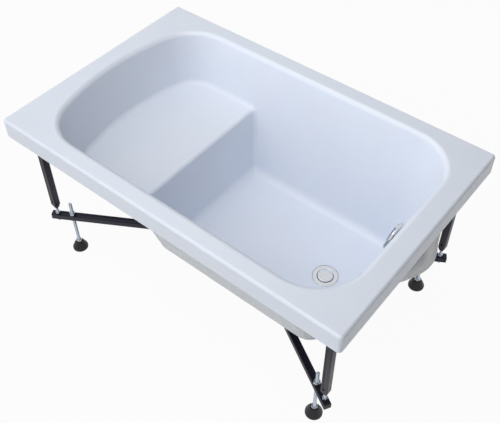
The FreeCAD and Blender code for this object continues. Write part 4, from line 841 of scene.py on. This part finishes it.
def hexagon_nut(flats, height, bore):
    """Nut with its corners turned off at 30 degrees and its bore countersunk, in millimetres."""
    sides, sink = 48, 0.8
    face = 0.96 * flats / 2
    depth = (flats / 2 / math.cos(math.pi / 6) - face) * math.tan(math.pi / 6)
    levels = [depth * share for share in (0, 0.15, 0.35, 0.6, 1.0)]
    stack = [(bore + sink, 0)] + [(None, z) for z in levels]
    stack += [(None, height - z) for z in reversed(levels)]
    stack += [(bore + sink, height), (bore, height - sink), (bore, sink)]
    turn = np.arange(sides) * 2 * math.pi / sides
    side = flats / 2 / np.cos((turn % (math.pi / 3)) - math.pi / 6)
    places = []
    for radius, z in stack:
        cone = face + min(z, height - z) / math.tan(math.pi / 6)
        out = np.minimum(side, cone) if radius is None else np.full(sides, radius)
        places.append(np.stack([out * np.cos(turn), out * np.sin(turn), np.full(sides, z)], axis=-1))
    rows = len(places)
    skin = [(r * sides + k, ((r + 1) % rows) * sides + k, ((r + 1) % rows) * sides + (k + 1) % sides,
             r * sides + (k + 1) % sides) for r in range(rows) for k in range(sides)]
    return smoothed(mesh_of(np.concatenate(places), [tuple(reversed(face)) for face in skin]), 24)


def moved(mesh, matrix):
    """The mesh put in its place by a matrix."""
    mesh.transform(matrix)
    return mesh


def block(matrix):
    """Cube of 1 mm, put to its size and in its place by a matrix."""
    shape = bmesh.new()
    bmesh.ops.create_cube(shape, size=0.001)
    bmesh.ops.transform(shape, matrix=matrix, verts=shape.verts)
    return meshed(shape)


def tall(node):
    """Height in millimetres of a CAD node's first solid."""
    low, high = solids(node)[0]
    return high[2] - low[2]


placing, given = geometry_tree("Placed fasteners", {"Fastener": None, "Seed": 3})
blank = add(placing, "GeometryNodeObjectInfo", {"Object": given["Fastener"]})
stop = add(placing, "FunctionNodeRandomValue", {2: 0.0, 3: 2 * math.pi, "Seed": given["Seed"]})
spun = add(placing, "ShaderNodeCombineXYZ", {"Z": stop.outputs[1]})
copies = add(placing, "GeometryNodeInstanceOnPoints", {
    "Points": given["Geometry"], "Instance": blank.outputs["Geometry"],
    "Rotation": spun.outputs["Vector"]})
close_tree(placing, copies.outputs["Instances"], zinc)


def fastened(name, node, mesh, seed):
    """A copy of one fastener at the foot of each of a CAD node's solids."""
    pattern = placed("pattern", mesh)
    spots = bpy.data.meshes.new("spots")
    spots.from_pydata([tuple(foot_of(box) / 1000) for box in solids(node)], [], [])
    made = grown(spots, placing, {"Fastener": pattern, "Seed": seed})
    bpy.data.objects.remove(pattern)
    shown(name, made, zinc, node)


screw_head = 2.6


def screw(shank):
    """Pan-head wood screw standing on its head, with a cross recess."""
    body = turned([(0, 0.5), (1.4, 0.4, 0.5), (4.5, 1.0, 0.9), (4.5, screw_head, 0.2), (2.2, screw_head),
                   (2.2, shank + 0.6), (0.3, shank + screw_head), (0, shank + screw_head)], sides=40)
    recesses = [block(Matrix.Translation((0, 0, 0.0005)) @ Matrix.Rotation(turn, 4, "Z")
                      @ Matrix.Diagonal((4.6, 0.9, 2.4, 1))) for turn in (0, math.pi / 2)]
    cut = cut_by(body, recesses)
    cut.set_sharp_from_angle(angle=math.radians(36))
    return cut


for corner in corners:
    rod_node, nut_node = f"foot_rod_{corner}", f"foot_nut_{corner}"
    foot_rod = moved(threaded(5.0, 1.5, tall(rod_node)), standing(rod_node))
    shown(f"threaded_foot_rod_{corner}", foot_rod, zinc, rod_node)
    foot_nut = moved(hexagon_nut(17.0, 8.0, 5.0), standing(nut_node))
    shown(f"foot_hexagon_nut_{corner}", foot_nut, zinc, nut_node)
fastened("lock_nuts", "foot_lock_nuts", hexagon_nut(17.0, 8.0, 5.0), 11)
fastened("stud_nuts", "post_stud_nuts", hexagon_nut(13.0, 6.5, 4.0), 12)
fastened("threaded_studs", "post_studs", threaded(4.0, 1.25, tall("post_studs")), 13)
fastened("threaded_inserts", "bar_inserts",
         turned([(5.1, 0, 0.4), (9.5, 0, 0.4), (9.5, 1.5), (7, 1.5), (7, 21.5), (5.1, 21.5)], closed=True,
                sides=48), 14)
fastened("plate_wood_screws", "post_top_screws", screw(tall("post_top_screws") - screw_head), 15)
fastened("board_wood_screws", "board_screws", screw(tall("board_screws") - screw_head), 16)
for node in ("plug_stem", "lift_pin"):
    softened(f"turned_{node}", node, 0.0004, zinc)


# Drain and overflow trim: brass and ABS plated with bright chromium, polished before plating, so
# that it mirrors the room with only a faint smear.

chrome, tree, where = material("Bright chromium plating")
surface(tree, {
    "Base Color": linear("#cdd0d5"), "Metallic": 1.0,
    "Roughness": spread(tree, noise(tree, where, 70.0, 4.0), 0.05, 0.14)})


def joined(*meshes):
    """One mesh of several."""
    shape = bmesh.new()
    for mesh in meshes:
        shape.from_mesh(mesh)
    return meshed(shape)


drain_top = at((*drain_spot, floor_level))
strainer = [turned([(36, -2, 0.2), (36, 0, 1.1), (23.5, 0, 1.6), (21, -6, 2.0), (21, -34, 0.3),
                    (24, -34, 0.3), (24, -2)], drain_top, closed=True, sides=128, segments=6),
            turned([(3.3, -34, 0.2), (6, -34, 0.4), (6, -28, 0.4), (3.3, -28, 0.2)], drain_top, closed=True,
                   sides=48)]
for quarter in range(4):
    spoke = block(drain_top @ Matrix.Rotation(quarter * math.pi / 2, 4, "Z")
                  @ Matrix.Translation((0.01345, 0, -0.031)) @ Matrix.Diagonal((16.3, 2.4, 6.0, 1)))
    strainer.append(edged(spoke, 0.0005))
shown("plated_drain_flange", joined(*strainer), chrome, "drain_flange")
plug_mesh = turned([(0, 0), (20.2, 0, 0.6), (22, 1.8, 0.8), (22, 4.3, 1.4), (14, 4.9, 12.0), (0, 5)],
                   standing("drain_plug"), sides=128, segments=6)
shown("plated_drain_plug", plug_mesh, chrome, "drain_plug")

wall_frame = (Matrix.Translation(Vector(overflow_spot) / 1000)
              @ Matrix(((math.sin(wall_lean), 0, overflow_way[0]), (0, 1, 0),
                        (math.cos(wall_lean), 0, overflow_way[2]))).to_4x4())
knob_face, grip_radius, grip_height = 10.0, 31, 6
disc_mesh = turned([(0, knob_face - 6), (38, knob_face - 6, 0.6), (38, knob_face, 2.0), (0, knob_face)],
                   wall_frame, sides=128, segments=6)
shape = bmesh.new()
half_round = [(grip_radius * math.cos(a) / 1000, grip_radius * math.sin(a) / 1000)
              for a in np.linspace(0, math.pi, 49)]
base = [shape.verts.new((x, y, (knob_face - 0.3) / 1000)) for x, y in half_round]
crest = [shape.verts.new((x, y, (knob_face + grip_height) / 1000)) for x, y in half_round]
shape.faces.new(list(reversed(base)))
shape.faces.new(crest)
for k in range(len(base)):
    n = (k + 1) % len(base)
    shape.faces.new((base[k], base[n], crest[n], crest[k]))
bmesh.ops.transform(shape, matrix=wall_frame, verts=shape.verts)
grip_mesh = edged(meshed(shape), 0.0018, 4, 40)
shown("plated_overflow_knob", joined(disc_mesh, grip_mesh), chrome, "overflow_knob")
rosette_mesh = turned([(4.3, 0), (33, 0, 0.3), (33, 2.5, 1.3), (4.3, 2.5, 0.3)], wall_frame, closed=True,
                      sides=128)
shown("plated_rosette", rosette_mesh, chrome, "overflow_rosette")


# Seals: black rubber rings, punched or moulded, pressed flat by the nuts. A grey bloom lies on them.

rubber, tree, where = material("Black rubber")
bloom = noise(tree, where, 120.0, 4.0)
surface(tree, {
    "Base Color": blend(tree, bloom, "#17171a", "#26262a"), "Roughness": spread(tree, bloom, 0.6, 0.8),
    "Normal": bump(tree, bloom, 0.2, 0.0002)})
for node, edge_width in (("drain_upper_seal", 0.0002), ("drain_lower_seal", 0.0008), ("plug_seal", 0.0006),
                         ("overflow_seal", 0.0006)):
    softened(f"rubber_{node}", node, edge_width, rubber, 3)


# Waste fittings under the tub: white polypropylene mouldings with 3 mm walls and soft edges, screwed
# together by hand, so that each nut and the cup have grip ribs.

for node in ("drain_body", "overflow_body", "trap_body", "knob_spindle"):
    softened(f"moulded_{node}", node, 0.0007, white_plastic)

grip_ribs, given = geometry_tree("Grip ribs", {
    "Rib count": 24, "Ring radius": 0.02, "Rib radius": 0.0011, "Rib length": 0.018, "Middle": 0.0})
circle = add(grip_ribs, "GeometryNodeMeshCircle", {
    "Vertices": given["Rib count"], "Radius": given["Ring radius"]})
rib = add(grip_ribs, "GeometryNodeMeshCylinder", {
    "Vertices": 10, "Radius": given["Rib radius"], "Depth": given["Rib length"]})
spots = add(grip_ribs, "GeometryNodeInstanceOnPoints", {
    "Points": circle.outputs["Mesh"], "Instance": rib.outputs["Mesh"]})
lift = add(grip_ribs, "ShaderNodeCombineXYZ", {"Z": given["Middle"]})
raised = add(grip_ribs, "GeometryNodeTransform", {
    "Geometry": spots.outputs["Instances"], "Translation": lift.outputs["Vector"]})
both = add(grip_ribs, "GeometryNodeJoinGeometry")
grip_ribs.links.new(given["Geometry"], both.inputs["Geometry"])
grip_ribs.links.new(raised.outputs["Geometry"], both.inputs["Geometry"])
close_tree(grip_ribs, both.outputs["Geometry"], white_plastic)


def gripped(mesh, count, radius, length, middle):
    """A turned mesh with a ring of ribs on it; sizes in millimetres."""
    made = grown(mesh, grip_ribs, {
        "Rib count": count, "Ring radius": radius / 1000, "Rib radius": 0.0011,
        "Rib length": length / 1000, "Middle": middle / 1000})
    made.set_sharp_from_angle(angle=math.radians(40))
    return made


def hand_nut(node, bore, length, place, way, ribs):
    """Union nut on a place along a direction: a ring 6.1 mm thick, with ribs that stand 0.9 mm proud."""
    rim = bore + 6.1
    ring_mesh = turned([(bore, 0, 0.3), (rim, 0, 1.2), (rim, length, 1.2), (bore, length, 0.3)],
                       closed=True, sides=72)
    made = gripped(ring_mesh, ribs, bore + 5.9, length - 3, length / 2)
    shown(f"ribbed_{node}", moved(made, at(place, way)), white_plastic, node)


hose_way = (math.cos(math.radians(39)), math.sin(math.radians(39)), 0.0)
waste_level = 121.0
hand_nut("hose_nut_lower", 14.1, 22.0,
         (drain_spot[0] + 31 * hose_way[0], 31 * hose_way[1], waste_level), hose_way, 24)
hand_nut("hose_nut_upper", 14.1, 22.0,
         (1000 * hose_points[0][0], 32, 1000 * hose_points[0][2]), (0, 1, 0), 24)
hand_nut("trap_union_nut", 17.1, 18.0, (240, 0, waste_level), (1, 0, 0), 28)
hand_nut("outlet_nut", 22.1, 18.0, (200, 106, 102), (0, 1, 0), 36)

(low, high), = solids("trap_cup")
cup_radius, cup_height, cup_bore = (high[0] - low[0]) / 2, high[2] - low[2], 36.3
cup_wall = cup_radius - 0.9
cup_mesh = turned([(0, 0), (33, 0, 2.0), (cup_wall, 5, 3.0), (cup_wall, cup_height, 0.8),
                   (cup_bore, cup_height, 0.3), (cup_bore, 40), (33, 40, 0.3), (33, 3, 1.0), (0, 3)])
cup_mesh = gripped(cup_mesh, 48, cup_radius - 1.1, 22, cup_height - 13)
shown("ribbed_trap_cup", moved(cup_mesh, standing("trap_cup")), white_plastic, "trap_cup")


# Floor and backdrop: a plain white studio floor and room, with soft light from above the seat end and
# from the near long side. Camera and mirrors see both as even white.


def seen_directly(tree):
    """One on rays from the camera or off a glossy face, and nought on all others."""
    path = add(tree, "ShaderNodeLightPath")
    return compute(tree, "MAXIMUM", path.outputs["Is Camera Ray"], path.outputs["Is Glossy Ray"])


floor_material, tree, where = material("White studio floor")
paper = add(tree, "ShaderNodeBsdfDiffuse", {"Color": linear("#cfd0d2")})
glow = add(tree, "ShaderNodeEmission", {"Color": linear("#ffffff"), "Strength": 1.0})
shared = compute(tree, "MULTIPLY", seen_directly(tree), 0.95)
mixed = add(tree, "ShaderNodeMixShader", {0: shared, 1: paper.outputs["BSDF"], 2: glow.outputs["Emission"]})
add(tree, "ShaderNodeOutputMaterial", {"Surface": mixed.outputs["Shader"]})
floor_mesh = bpy.data.meshes.new("floor")
floor_mesh.from_pydata([(-24, -24, 0), (24, -24, 0), (24, 24, 0), (-24, 24, 0)], [], [(0, 1, 2, 3)])
floor_mesh.materials.append(floor_material)
floor = placed("floor", floor_mesh)

world = bpy.data.worlds.new("studio")
bpy.context.scene.world = world
world.use_nodes = True
tree = world.node_tree
tree.nodes.clear()
compass = add(tree, "ShaderNodeTexCoord").outputs["Generated"]
lobes = []
for way, start, most in (((-0.80, -0.51, 0.31), -0.22, 0.52), ((-0.2, -0.9, 0.4), 0.0, 1.02)):
    toward = add(tree, "ShaderNodeVectorMath", {0: compass, 1: way}, operation="DOT_PRODUCT")
    lobe = add(tree, "ShaderNodeMapRange", {
        "Value": toward.outputs["Value"], "From Min": start, "To Max": most})
    lobes.append(lobe.outputs["Result"])
room = add(tree, "ShaderNodeBackground", {
    "Color": linear("#ffffff"), "Strength": compute(tree, "ADD", *lobes)})
white = add(tree, "ShaderNodeBackground", {"Color": linear("#ffffff"), "Strength": 1.0})
mixed = add(tree, "ShaderNodeMixShader", {
    0: seen_directly(tree), 1: room.outputs["Background"], 2: white.outputs["Background"]})
add(tree, "ShaderNodeOutputWorld", {"Surface": mixed.outputs["Shader"]})


def softbox(name, place, aim, side, power):
    """Square lamp at a place, turned to what it aims at."""
    light = bpy.data.lights.new(name, "AREA")
    light.shape, light.size, light.energy = "SQUARE", side, power
    lamp = placed(name, light)
    lamp.location = place
    lamp.rotation_mode = "QUATERNION"
    lamp.rotation_quaternion = (Vector(aim) - Vector(place)).to_track_quat("-Z", "Y")


softbox("overhead", (-0.45, -0.1, 1.9), (-0.45, -0.1, 0.4), 0.9, 4.8)
softbox("filler", (0.15, -0.6, 1.9), (-0.45, 0.1, 0.4), 0.8, 4.0)

bpy.context.scene.view_settings.view_transform = "Standard"
